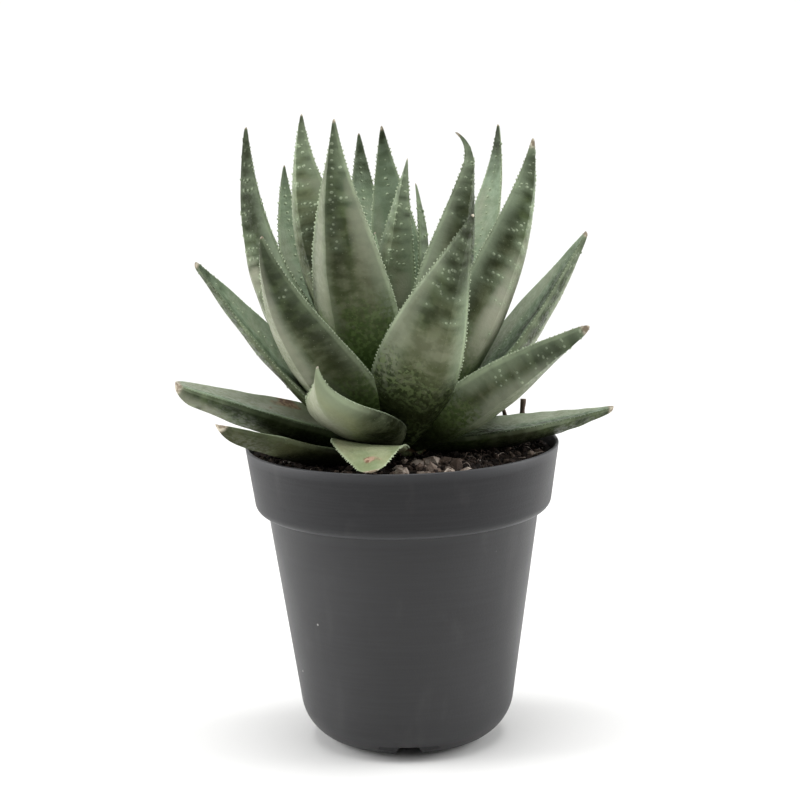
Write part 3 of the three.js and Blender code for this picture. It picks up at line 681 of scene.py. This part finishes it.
def soil_material():
    """Potting mix: grain_tone runs from damp black peat to dry bark, and pale marks perlite."""
    material, shader, place = new_material("potting_mix", Specular_IOR_Level=0.25)
    tone = value_of(shader, "grain_tone")
    clots = effect(BLOTCHES, place, Scale=420.0, Low=0.35, High=0.65)
    base = layered(mixed(clots, (20, 16, 14), (48, 38, 33)), {
        "bark": (faded(tone, 0.45, 0.85), (104, 90, 80)),
        "dry bark": (faded(tone, 0.8, 1.0), mixed(clots, (142, 126, 114), (204, 192, 180))),
        "perlite": (value_of(shader, "pale"), mixed(clots, (188, 182, 172), (222, 218, 210))),
    })
    finish_material(shader, base, (clots, 0.15, 0.8), effect(GRAIN, place, Scale=1500.0, Fine=0.6), 0.3)
    return material


def stem_material():
    """Pale green stem with dry leaf scars."""
    material, shader, place = new_material("stem_bark", Specular_IOR_Level=0.3)
    scars = effect(BLOTCHES, stretched(place, (1, 1, 3)), Scale=160.0, Low=0.42, High=0.6)
    base = mixed(scars, (112, 122, 84), (128, 104, 78))
    finish_material(shader, base, (scars, 0.2, 0.6), effect(GRAIN, place, Scale=900.0, Fine=0.5), 0.2)
    return material


def spine_at(leaf, t):
    """The leaf's spine: a cubic Bezier curve from root to tip. Its arms are parts of the chord, and hook
    is added as the square of how far t is past HOOK_START."""
    root, tip = polar(leaf["azimuth"], leaf["reach"], leaf["root"]), polar(*leaf["tip"])
    chord = np.linalg.norm(tip - root)
    leaving = root + heading(leaf.get("out", leaf["azimuth"]), leaf["rise"]) * chord * leaf["bow"][0]
    arriving = tip - heading(leaf.get("head", leaf["tip"][0]), leaf["tip_rise"]) * chord * leaf["bow"][1]
    t = np.asarray(t, float)[..., None]
    curve = (1 - t) ** 3 * root + 3 * (1 - t) ** 2 * t * leaving
    curve = curve + 3 * (1 - t) * t ** 2 * arriving + t ** 3 * tip
    return curve + np.array(leaf["hook"]) * np.clip((t - HOOK_START) / (1 - HOOK_START), 0, 1) ** 2


def frame_of(leaf, t):
    """Position and the along, across and inward directions at t. Across is level at first, then it is
    turned about along by the leaf's twist."""
    step = 0.002
    along = unit(spine_at(leaf, np.minimum(1, t + step)) - spine_at(leaf, np.maximum(0, t - step)))
    angle = math.radians(leaf["azimuth"])
    across = np.array([math.cos(angle), math.sin(angle), 0])
    across = unit(across - along * (along @ across)[..., None])
    twist = np.radians(lerp(*leaf["twist"], t))[..., None]
    across = across * np.cos(twist) + np.cross(along, across) * np.sin(twist)
    return spine_at(leaf, t), along, across, np.cross(along, across)


def girth_of(leaf, t):
    """Half width and thickness at t: full width at FULL_WIDTH_AT, a narrower neck, and a sine taper to
    the tip. A blunt tip stops short of the point and is rounded off."""
    reached = t * (1 - leaf["blunt"])
    cap_start = 1 - leaf["blunt"] / 2
    cap = np.sqrt(np.clip(1 - np.clip((t - cap_start) / (1 - cap_start), 0, 1) ** 2, 0, 1))
    taper = np.sin(QUARTER_TURN * np.minimum(1, (1 - reached) / (1 - FULL_WIDTH_AT))) ** leaf["point"]
    neck = 1 - (1 - NECK) * np.clip((FULL_WIDTH_AT - t) / FULL_WIDTH_AT, 0, 1) ** 2
    flesh = np.sin(QUARTER_TURN * np.minimum(1, (1 - reached) / (1 - FLESH_FADES_AT))) ** FLESH_POWER
    foot = lerp(FOOT_THINNING, 1, np.clip(t / FOOT_LENGTH, 0, 1))
    return leaf["width"] / 2 * taper * neck * cap, leaf["thick"] * flesh * foot * cap


def depth_of(leaf, t, s, outer):
    """How deep the skin lies below the line between the margins, as a part of the thickness. The inner
    face is a shallow parabola, and the outer face goes from round at the root to ridged at the tip."""
    hollow = CHANNEL_HOLLOW * np.sqrt(1 - t) * (1 - s * s)
    arm = np.where(s < leaf["keel"], (s + 1) / (1 + leaf["keel"]), (1 - s) / (1 - leaf["keel"]))
    ridged = lerp(*leaf["ridged"], t)
    rounded = np.sqrt(np.clip(1 - (1 - arm) ** 2, 0, 1))
    back = MARGIN_THICKNESS + (1 - MARGIN_THICKNESS) * (ridged * arm + (1 - ridged) * rounded)
    return lerp(hollow, back, outer)


def skin_at(leaf, t, s, outer, number):
    """A point of the skin at t along and s across (-1 to 1). outer is 0 on the inner face, 1 on the outer
    one and 0.5 at the rounded edge between them. Low ripples make the flesh uneven."""
    position, along, across, inward = frame_of(leaf, t)
    half, thick = girth_of(leaf, t)
    edge = 1 - np.abs(2 * outer - 1)
    side = s * (half + MARGIN_BULGE * edge * np.minimum(1, half))
    place = np.stack(np.broadcast_arrays(side * 1.0, t * 100, outer * 20), -1)
    uneven = FLESH_RIPPLE * ripple(place, RIPPLE_LENGTH, number) * np.minimum(1, half / 4) * (1 - edge)
    depth = depth_of(leaf, t, s, outer) * thick + uneven * (2 * outer - 1)
    return position + across * side[..., None] - inward * depth[..., None]


def leaf_surface(leaf, number):
    """The leaf's skin as a closed grid about the spine: across the inner face, round one margin, back
    over the two arms of the outer face, and round the other margin. Rows crowd towards the tip."""
    inner = np.sin(QUARTER_TURN * np.linspace(-1, 1, INNER_COLUMNS))
    arm = (1 - np.cos(math.pi * np.linspace(0, 1, ARM_COLUMNS))) / 2
    right, left = lerp(1, leaf["keel"], arm), lerp(leaf["keel"], -1, arm)[1:]
    s = np.concatenate([inner, [1], right, left, [-1]])
    outer = np.concatenate([inner * 0, [0.5], right * 0 + 1, left * 0 + 1, [0.5]])
    t = 1 - (1 - np.linspace(0, 1, LEAF_ROWS + 1)[:-1]) ** ROW_CROWDING
    t, s = np.meshgrid(t, s, indexing="ij")
    outer = np.broadcast_to(outer, t.shape)
    points = skin_at(leaf, t, s, outer, number).reshape(-1, 3)
    columns = t.shape[1]
    ends = [points[:columns].mean(0), spine_at(leaf, 1.0)]
    return (
        np.concatenate([points, ends]), capped_faces(LEAF_ROWS, columns), np.append(t.ravel(), [0, 1]),
        np.append(s.ravel(), [0, 0]), np.append(outer.ravel(), [0.5, 0.5]),
    )


def lengths_along(leaf):
    """t values and the length of spine below each, in millimetres."""
    t = np.linspace(0, 1, 200)
    steps = np.linalg.norm(np.diff(spine_at(leaf, t), axis=0), axis=1)
    return t, np.concatenate([[0], np.cumsum(steps)])


def bump_places(leaf, number):
    """Where the bumps stand: t, s, outer and a size factor for each, with the teeth first and then the
    tubercles. Teeth follow both margins. Tubercles stand in clusters that form rows across the back, in a
    column up the back towards the tip, and in a column up the middle of the inner face. A row is a sine
    across the leaf, shifted from row to row."""
    draw = np.random.default_rng(TOOTH_SEED + number)
    table_t, table_length = lengths_along(leaf)
    length = table_length[-1]
    t_at = lambda along: np.interp(along, table_length, table_t)

    along = np.arange(TOOTH_SPAN[0] * length, TOOTH_SPAN[1] * length, TOOTH_PITCH)
    along = np.concatenate([along, along]) + draw.uniform(-TOOTH_STRAY, TOOTH_STRAY, 2 * len(along))
    side = np.repeat([-1.0, 1.0], len(along) // 2)
    size = draw.uniform(*TOOTH_SIZES, len(along)) * np.interp(along / length, *TOOTH_GROWTH) * leaf["toothed"]
    teeth = np.stack([t_at(along), side, np.full(len(along), 0.5), size], -1)

    spots = []
    middle, spread = leaf["rows_at"]
    start = leaf["rows_from"]
    rows = np.arange(start * length, ROWS_END * length, ROW_PITCH)
    rows += np.random.default_rng(ROW_SEED + number).uniform(-ROW_STRAY, ROW_STRAY, len(rows))
    wave, sideways, onwards = ROW_WAVE
    for row in rows:
        half = girth_of(leaf, t_at(row))[0]
        share = leaf["rows"] * smooth(row / length - start, *ROWS_GROW)
        for _ in range(leaf["clusters"]):
            s = middle + draw.uniform(-spread, spread)
            wanted = draw.random() < share
            for _ in range(draw.integers(*CLUSTER_SIZE)):
                if wanted and abs(s) < CLUSTER_SIDE:
                    place = row + wave * np.sin(sideways * s + onwards * row)
                    place += draw.uniform(-CLUSTER_STRAY, CLUSTER_STRAY)
                    spots.append([place, s, 1, draw.uniform(*TUBERCLE_SIZES)])
                s += draw.uniform(*CLUSTER_STEP) / half
    columns = [(BACK_COLUMN, leaf["column"], leaf["column_at"], 1), (INNER_COLUMN, leaf["inside"], 0, 0)]
    for column, share, middle, face in columns:
        first, last = column["span"]
        stray, side = column["stray"], column["side"]
        for place in np.arange(first * length, last * length, column["pitch"]):
            if draw.random() < share:
                place += draw.uniform(-stray, stray)
                s = middle + draw.uniform(-side, side)
                spots.append([place, s, face, draw.uniform(*column["sizes"])])
    spots = np.array(spots).reshape(-1, 4)
    spots[:, 0] = t_at(spots[:, 0])
    return np.concatenate([teeth, spots]), len(teeth)


def dome(sides):
    """A low dome of unit size, sunk a little below its foot: two rings, a top point and a bottom."""
    angle = np.arange(sides) * 2 * math.pi / sides
    ring = np.stack([np.cos(angle), np.sin(angle), angle * 0], -1)
    foot, shoulder = ring - [0, 0, 0.6], ring * [0.72, 0.72, 0] + [0, 0, 0.6]
    low, high = np.arange(sides), np.arange(sides) + sides
    walls = np.concatenate([
        np.stack([low, np.roll(low, -1), np.roll(high, -1)], -1),
        np.stack([low, np.roll(high, -1), high], -1),
    ])
    points = np.concatenate([foot, shoulder, [[0, 0, 1], [0, 0, -0.6]]])
    return points, np.concatenate([walls, fan(2 * sides, high), fan(2 * sides + 1, low)[:, ::-1]])


def leaf_bumps(leaf, number):
    """Teeth and tubercles as small domes on the skin. Their axes are the skin's across, along and outward
    directions there, and a tooth's top leans towards the tip."""
    spots, teeth = bump_places(leaf, number)
    t, s, outer, size = spots.T
    _, along, across, _ = frame_of(leaf, t)
    step = 0.01
    skin = lambda t, s: skin_at(leaf, t, s, outer, number)
    over = skin(t, np.minimum(1, s + step)) - skin(t, np.maximum(-1, s - step))
    up = skin(np.minimum(1, t + step), s) - skin(np.maximum(0, t - step), s)
    out = unit(np.cross(up, over)) * np.where(outer > 0.75, -1, 1)[:, None]
    is_tooth = np.arange(len(t)) < teeth
    out = np.where(is_tooth[:, None], unit(across * s[:, None] + along * TOOTH_LEAN), out)
    up = unit(up - out * (up * out).sum(-1, keepdims=True))
    axes = np.stack([np.cross(up, out), up, out], 1)
    sizes = np.where(is_tooth[:, None], TOOTH, TUBERCLE) * size[:, None]
    sizes = sizes * np.clip(girth_of(leaf, t)[0] / SMALL_BUMPS_BELOW, 0.3, 1)[:, None]
    template, faces = dome(BUMP_SIDES)
    points, faces = scattered(template, faces, skin(t, s), axes, sizes)
    values = (t, s, outer, np.where(is_tooth, *BUMP_PALENESS))
    return points, faces, [np.repeat(value, len(template)) for value in values], spots[teeth:]


SKIN_ATTRIBUTES = ("margin_mm", "tip_part", "root_part", "outer", "bump", "halo", "painted_sheen", "shade", "scar")
LOOK_ATTRIBUTES = ("edged", "tone", "low_to", "crumbs", "yellow")


def make_leaf(row, number, material):
    """One leaf: its skin and its bumps in a single mesh, with the attributes that its material reads."""
    leaf = LEAF_DEFAULTS | LOOK_DEFAULTS | dict(zip(LEAF_COLUMNS, row)) | row[-1] | LOOKS.get(number, {})
    points, faces, *skin = leaf_surface(leaf, number)
    more_points, more_faces, bumps, tubercles = leaf_bumps(leaf, number)
    faces = [*faces, more_faces + len(points)]
    t, s, outer, bump = (np.concatenate(pair) for pair in zip([*skin, np.zeros(len(points))], bumps))
    points = np.concatenate([points, more_points])
    table_t, table_length = lengths_along(leaf)
    length = table_length[-1]
    along = np.interp(t, table_t, table_length)
    half, thick = girth_of(leaf, t)
    reach = np.where(outer > 0.75, np.hypot(half, 0.7 * thick), half)
    on_face = lambda face: np.abs(outer - face) < 0.6

    # Pale halos round the tubercles, and a painted shadow just below each, as under a raised row.
    halo, shadow = t * 0, t * 0
    for at_t, at_s, face, size in tubercles:
        up = along - np.interp(at_t, table_t, table_length)
        side = (s - at_s) * half
        reached = leaf["halo"] * size * on_face(face)
        halo = np.maximum(halo, reached * np.exp(-(side / HALO[0]) ** 2 - (up / HALO[1]) ** 2))
        below = (up + SHADOW_DROP) / SHADOW[1]
        shadow = np.maximum(shadow, reached * np.exp(-(side / SHADOW[0]) ** 2 - below ** 2))
    # Painted sheen: pale strips on the back and on the inner face, where facets that turn to the side catch
    # the light.
    strips = np.where(outer[:, None] > 0.5, leaf["sheen_strip"], leaf["inner_sheen_strip"])
    first, last, dusting, highest = strips.T
    painted_sheen = dusting * smooth(s - first, *SHEEN_EDGE) * smooth(last - s, *SHEEN_EDGE)
    painted_sheen = painted_sheen * smooth(t, *SHEEN_FOOT) * smooth(t - highest, *SHEEN_TOP)
    # Soft patches of painted shade (above 0) and painted light (below 0), with some of the leaf's own dark
    # and pale marks. Halos and bumps dim under the painted shade, and the painted shadows below tubercles
    # join it.
    shade = t * 0
    for at_t, at_s, face, long, wide, amount in leaf["shades"]:
        apart = ((t - at_t) * length / long) ** 2 + ((s - at_s) * half / wide) ** 2
        shade = shade + (amount - shade * abs(amount)) * np.exp(-apart) * on_face(face)
    lit = 1 - SHADE_ON_BUMPS * np.clip(shade, 0, 1)
    halo, bump = halo * lit, bump * lit
    shadow = SHADOW_DARKNESS * shadow * (1 - np.minimum(1, halo))
    shade = np.maximum(shade, shadow + np.minimum(0, shade))
    scar = t * 0
    ragged, wavelength = SCAR_RAGGED
    for at_t, at_s, face, size in leaf["scars"]:
        apart = np.hypot((t - at_t) * length, (s - at_s) * half)
        apart = apart * (1 + ragged * ripple(np.stack([s * half, along, outer], -1), wavelength, number))
        scar = np.maximum(scar, smooth(apart, size, SCAR_EDGE * size) * on_face(face))
    margin, tip = reach * (1 - np.abs(s)), (length - along) / leaf["dry"]
    attributes = dict(zip(SKIN_ATTRIBUTES, (margin, tip, t, outer, bump, halo, painted_sheen, shade, scar)))
    attributes |= {name: np.full(len(t), float(leaf[name])) for name in LOOK_ATTRIBUTES}
    apart = number * LEAF_APART + outer * FACE_APART
    attributes["leaf_place"] = np.stack([s * half, along, apart], -1)
    node = f"leaf_{number:02d}"
    make_piece(f"{node}_skin", points, faces, material, "leaf", attributes, node)


def pot_profile(inset, foot, rim, steps):
    """The pot's outside from the standing face up to the rim, moved inwards by inset: a rounded foot, a
    tapered wall, the step under the collar, its rounded lower edge and its tapered wall."""
    taper, slope = math.tan(TAPER), math.cos(TAPER)
    body_at = lambda height: CREASE_RADIUS - (CREASE_HEIGHT - height) * taper - inset / slope
    foot_radius = body_at(FOOT_ROUNDING) + inset / slope - FOOT_ROUNDING / slope
    foot_size = FOOT_ROUNDING - inset
    foot_start = -math.asin(min(1, (FOOT_ROUNDING - foot) / foot_size))
    collar_size = COLLAR_ROUNDING - inset
    collar_top = CREASE_HEIGHT + COLLAR_ROUNDING
    collar_under = collar_top - collar_size
    collar_outer = RIM_RADIUS - (POT_HEIGHT - collar_top) * taper - COLLAR_ROUNDING / slope
    return [
        [0, foot],
        *arc([foot_radius, FOOT_ROUNDING], foot_size, foot_start, -TAPER, 2 * steps),
        [body_at(collar_under), collar_under],
        *arc([collar_outer, collar_top], collar_size, -QUARTER_TURN, -TAPER, steps),
        [RIM_RADIUS - (POT_HEIGHT - rim) * taper - inset / slope, rim],
    ]


def under_floor(points):
    """The height of the pot's underside where drainage is cut into it: channels with sloping sides, a
    hole in each, and the places where the foot is cut back. It is 0 elsewhere."""
    height = np.zeros(len(points))
    slope = CHANNEL_DEPTH / (CHANNEL_FOOT_WIDTH - CHANNEL_TOP_WIDTH) * 2
    for i in range(CHANNELS):
        turn = i * 2 * math.pi / CHANNELS
        along = -points[:, 1] * math.cos(turn) + points[:, 0] * math.sin(turn)
        across = points[:, 0] * math.cos(turn) + points[:, 1] * math.sin(turn)
        channel = np.minimum(CHANNEL_DEPTH, (CHANNEL_FOOT_WIDTH / 2 - np.abs(across)) * slope)
        height = np.maximum(height, np.where(along > CHANNEL_INNER_RADIUS, channel, 0))
        hole = np.hypot(along - DRAIN_HOLE_REACH, across) < DRAIN_HOLE_RADIUS
        height = np.where(hole, DRAIN_HOLE_TOP, height)
        cutback = (np.abs(across) < CUTBACK_WIDTH / 2) & (along > CUTBACK_REACH)
        height = np.maximum(height, np.where(cutback, CUTBACK_HEIGHT, 0))
    return height


def make_pot(material):
    """The pot as one closed wall: the outside, a rounded rim and the inside, turned about the axis. Its
    underside is then raised where the drainage is cut."""
    lip = WALL / 2 / math.cos(TAPER)
    outer_profile = pot_profile(0, 0, POT_HEIGHT - lip, 30)
    outside = [*dense(outer_profile[:2], 0.5), *dense(outer_profile[2:], 4.0)]
    inside = dense(pot_profile(WALL, FLOOR_TOP, POT_HEIGHT - lip, 6), 3.0)[::-1]
    rim = arc([outside[-1][0] - lip, POT_HEIGHT - lip], lip, 0, math.pi, 8)[1:-1]
    profile = [*outside, *rim, *inside]
    points, faces, rows = turned(profile, POT_SIDES)
    below = (rows < len(outside)) & (points[:, 2] < CUTBACK_HEIGHT)
    points[below, 2] = np.maximum(points[below, 2], under_floor(points[below]))
    height = points[:, 2]
    crease = smooth(np.abs(height - CREASE_HEIGHT - CREASE_PALENESS_ABOVE), *CREASE_PALENESS)
    edge = np.maximum(crease * (rows < len(outside)), smooth(height - POT_HEIGHT, *RIM_PALENESS))
    collar = smooth(height, CREASE_HEIGHT, CREASE_HEIGHT + COLLAR_ROUNDING)
    attributes = {"edge": edge, "collar": collar}
    make_piece("pot_wall", points, faces, material, "pot", attributes, "pot", POT_SHARP_ABOVE)


def soil_level(points):
    """The height of the mix: lumps of two sizes that die away at the pot's wall."""
    flat = points[:, :2]
    lumps = sum(share * ripple(flat, wavelength, SOIL_LUMP_SEED + number)
                for number, (wavelength, share) in enumerate(SOIL_LUMPS))
    return SOIL_HEIGHT + SOIL_LUMP * lumps * smooth(np.linalg.norm(flat, axis=1), *SOIL_LEVELS_OFF)


def pebble():
    """An icosahedron of unit radius."""
    golden = (1 + math.sqrt(5)) / 2
    points = np.array([[x, y * golden, 0] for x in (-1, 1) for y in (-1, 1)], float)
    points = unit(np.concatenate([points, np.roll(points, 1, 1), np.roll(points, 2, 1)]))
    nearest = np.linalg.norm(points[:, None] - points[None], axis=-1)
    close = (nearest < 1.1) & (nearest > 0)
    outward = lambda a, b, c: np.dot(np.cross(points[b] - points[a], points[c] - points[a]), points[a]) > 0
    faces = [
        [a, b, c] if outward(a, b, c) else [a, c, b]
        for a in range(12) for b in range(a + 1, 12) for c in range(b + 1, 12)
        if close[a, b] and close[b, c] and close[a, c]
    ]
    return points, np.array(faces)


def random_axes(draw, count):
    """Three perpendicular unit directions for each of count pieces, turned at random."""
    first = unit(draw.normal(size=(count, 3)))
    second = unit(np.cross(first, draw.normal(size=(count, 3))))
    return np.stack([first, second, np.cross(first, second)], 1)


def strewn(draw, count, ring, sink, azimuths=(-180, 180)):
    """Random places on the mix, evenly spread over a ring or a part of it, and raised by sink."""
    reach = np.sqrt(draw.uniform(ring[0] ** 2, ring[1] ** 2, count))
    angle = np.radians(draw.uniform(*azimuths, count))
    places = np.stack([reach * np.sin(angle), -reach * np.cos(angle), reach * 0], -1)
    places[:, 2] = soil_level(places) + sink
    return places


def make_soil_piece(name, points, faces, material, tone, pale=0, **settings):
    """A piece of the mix with its tone, from damp peat to dry bark, and how far it is perlite."""
    attributes = {"grain_tone": np.zeros(len(points)) + tone, "pale": np.zeros(len(points)) + pale}
    make_piece(name, points, faces, material, "soil", attributes, **settings)


def make_grit(name, grit, material, ring=(8, RIM_RADIUS), azimuths=(-180, 180)):
    """Loose pieces of the mix: pebbles with uneven corners, of random size, proportion and turn."""
    seed, count, size, flatness, tone, pale = grit
    draw = np.random.default_rng(seed)
    template, faces = pebble()
    longest = size[0] + (size[1] - size[0]) * draw.random(count) ** 2
    proportions = [np.ones(count), draw.uniform(*GRIT_WIDTHS, count), draw.uniform(*flatness, count)]
    sizes = longest[:, None] * np.stack(proportions, -1)
    furthest = min(ring[1], RIM_RADIUS - WALL - GAP - GRIT_CLEARANCE - size[1])
    centres = strewn(draw, count, (ring[0], furthest), longest * GRIT_RISE, azimuths)
    axes = random_axes(draw, count)
    points, faces = scattered(template, faces, centres, axes, sizes)
    uneven = 1 + draw.uniform(-GRIT_UNEVEN, GRIT_UNEVEN, (len(points), 1))
    middles = np.repeat(centres, len(template), 0)
    points = middles + (points - middles) * uneven
    tones = np.repeat(draw.uniform(*tone, count), len(template))
    make_soil_piece(name, points, [faces], material, tones, pale, sharp_above=GRIT_SHARP_ABOVE)


def tube(path, radii, sides):
    """A closed tube about a path of points, one ring for each, with its own radius at each."""
    along = unit(np.gradient(path, axis=0))
    across = unit(np.cross(along, [0.3, 0.9, 0.2]))
    over = np.cross(along, across)
    angle = np.arange(sides) * 2 * math.pi / sides
    ring = across[:, None] * np.cos(angle)[None, :, None] + over[:, None] * np.sin(angle)[None, :, None]
    points = (path[:, None] + ring * radii[:, None, None]).reshape(-1, 3)
    faces = [block[:, ::-1] for block in capped_faces(len(path), sides)]
    return np.concatenate([points, [path[0], path[-1]]]), faces


def joined(parts):
    """Several point and face sets as one."""
    points, faces, offset = [], [], 0
    for part_points, part_faces in parts:
        points.append(part_points)
        faces.extend(block + offset for block in part_faces)
        offset += len(part_points)
    return np.concatenate(points), faces


def make_fibres(material):
    """Fine root fibres: short arcs that lie on the mix and bow up from it."""
    draw = np.random.default_rng(FIBRE_SEED)
    fibres = []
    for start in strewn(draw, FIBRES, FIBRE_RING, 0):
        turn = draw.uniform(0, 2 * math.pi)
        length, bend = draw.uniform(*FIBRE_LENGTHS), draw.uniform(-1, 1)
        part = np.linspace(0, 1, 7)
        bow = turn + bend * part
        path = start + np.stack([np.cos(bow), np.sin(bow), 0 * part], -1) * (part * length)[:, None]
        inwards = np.minimum(1, FIBRE_REACH / np.linalg.norm(path[:, :2], axis=1))
        path[:, :2] *= inwards[:, None]
        lift = draw.uniform(*FIBRE_LIFT) * np.sin(math.pi * part)
        path[:, 2] = soil_level(path) + FIBRE_CLEARANCE + lift
        radii = np.interp(part, [0, 0.5, 1], FIBRE_RADII) * draw.uniform(*FIBRE_SIZES)
        fibres.append(tube(path, radii, 5))
    tones = np.repeat(draw.uniform(*FIBRE_TONES, len(fibres)), [len(points) for points, _ in fibres])
    make_soil_piece("soil_fibres", *joined(fibres), material, tones)


def make_twigs(material):
    """Dry twigs that stand in the mix: narrowing tubes about wavering paths, with knots."""
    twigs = []
    waver, *wavelengths = TWIG_WAVER
    knot, knot_length = TWIG_KNOTS
    for number, twig in enumerate(TWIGS):
        seed = TWIG_SEED + number
        part = np.linspace(0, 1, 24)
        rise = part * (twig["height"] - SOIL_HEIGHT + TWIG_FOOT)
        path = polar(twig["azimuth"], twig["reach"], SOIL_HEIGHT - TWIG_FOOT) + np.outer(rise, [0, 0, 1])
        path[:, 0] += math.sin(math.radians(twig["lean"])) * (rise - TWIG_FOOT)
        sideways = [ripple(path, length, seed + 5 * axis) for axis, length in enumerate(wavelengths)]
        path[:, :2] += waver * np.stack(sideways, -1)
        knots = 1 + knot * ripple(path, knot_length, seed + 8)
        twigs.append(tube(path, twig["radius"] * lerp(1, TWIG_NARROWING, part) * knots, 10))
    make_soil_piece("soil_twigs", *joined(twigs), material, TWIG_TONE)


def make_soil(material):
    """The filling, its crumbs, bark chips, clods, perlite and fibres, and two dry twigs."""
    cavity = pot_profile(WALL + GAP, FLOOR_TOP + GAP, SOIL_HEIGHT, 3)
    edge = cavity[-1][0]
    top = [[edge * (1 - i / SOIL_RINGS), SOIL_HEIGHT] for i in range(1, SOIL_RINGS + 1)]
    points, faces, rows = turned([*cavity, *top], SOIL_SIDES)
    on_top = rows > len(cavity)
    points[on_top, 2] = soil_level(points[on_top])
    tone, varied, wavelength = SOIL_TONE
    tones = tone + varied * ripple(points, wavelength, SOIL_TONE_SEED)
    make_soil_piece("soil_filling", points, faces, material, tones, replaces="soil")
    make_grit("soil_crumbs", CRUMBS, material)
    make_grit("soil_bark_chips", BARK_CHIPS, material)
    make_grit("soil_clods", CLODS, material, CLOD_RING, CLOD_AZIMUTHS)
    make_grit("soil_perlite", PERLITE, material)
    make_fibres(material)
    make_twigs(material)


def make_stem(material):
    """The stem's profile turned about the axis, with shallow rings where leaves were."""
    points, faces, _ = turned(dense(STEM_PROFILE, 1.0), STEM_SIDES)
    depth, turns = STEM_RINGS
    points[:, :2] *= 1 + depth * np.sin(points[:, 2:] * turns)
    make_piece("stem_bark", points, faces, material, "stem", replaces="stem")


def make_floor():
    """A pale floor that curves up into a backdrop behind the plant. Its profile is depths and heights."""
    front, back, bend, top, half_width = -1600, 900, 700, 2600, 2400
    curve = arc([back, bend], bend, 0.1 - QUARTER_TURN, 0, 13)
    profile = [[front, 0], [back, 0], *curve, [back + bend, top]]
    across = (-half_width, 0, half_width)
    points = np.array([[x, y, z] for y, z in profile for x in across])
    material, shader, place = new_material("floor_paper", Roughness=0.85, Specular_IOR_Level=0.1)
    clouds = effect(BLOTCHES, place, Scale=1.5, Low=0.2, High=0.8)
    paper = mixed(clouds, (236, 236, 235), (240, 240, 239))
    material.node_tree.links.new(paper, shader.inputs["Base Color"])
    faces = grid_quads(len(profile), len(across), False)[:, ::-1]
    floor = new_object("floor", points, [faces], material)


def add_light(name, place, size, power):
    """A soft rectangular light that faces the middle of the plant."""
    light = bpy.data.lights.new(name, "AREA")
    light.shape = "RECTANGLE"
    light.size, light.size_y = size
    light.energy = power
    lamp = bpy.data.objects.new(name, light)
    back = unit(np.array(place) - LIGHT_AIM)
    across = unit(np.cross([0, 0, 1], back))
    turn = Matrix(np.stack([across, np.cross(back, across), back], 1).tolist()).to_4x4()
    lamp.matrix_world = Matrix.Translation(place) @ turn
    bpy.context.scene.collection.objects.link(lamp)


def add_camera():
    """The photograph's view: 800 mm away, a little above the plant and looking slightly down."""
    camera = bpy.data.objects.new("camera", bpy.data.cameras.new("camera"))
    camera.data.sensor_width = SENSOR_WIDTH
    camera.data.lens = CAMERA_LENS
    pitch = Matrix.Rotation(math.radians(90 - CAMERA_PITCH), 4, "X")
    roll = Matrix.Rotation(math.radians(CAMERA_ROLL), 4, "Z")
    camera.matrix_world = Matrix.Translation([value * MM for value in CAMERA_PLACE]) @ pitch @ roll
    bpy.context.scene.collection.objects.link(camera)
    bpy.context.scene.camera = camera


def add_world():
    """An even white surround, which fills the shadows."""
    world = bpy.data.worlds.new("studio")
    world.use_nodes = True
    background = world.node_tree.nodes["Background"]
    background.inputs["Color"].default_value = (1, 1, 1, 1)
    background.inputs["Strength"].default_value = WORLD_STRENGTH
    bpy.context.scene.world = world
    bpy.context.scene.view_settings.view_transform = "Standard"


leaf_skin = leaf_material()
for index, row in enumerate(LEAVES):
    make_leaf(row, index + 1, leaf_skin)
make_pot(pot_material())
make_soil(soil_material())
make_stem(stem_material())

add_world()
make_floor()
for name, light in LIGHTS.items():
    add_light(name, **light)
add_camera()
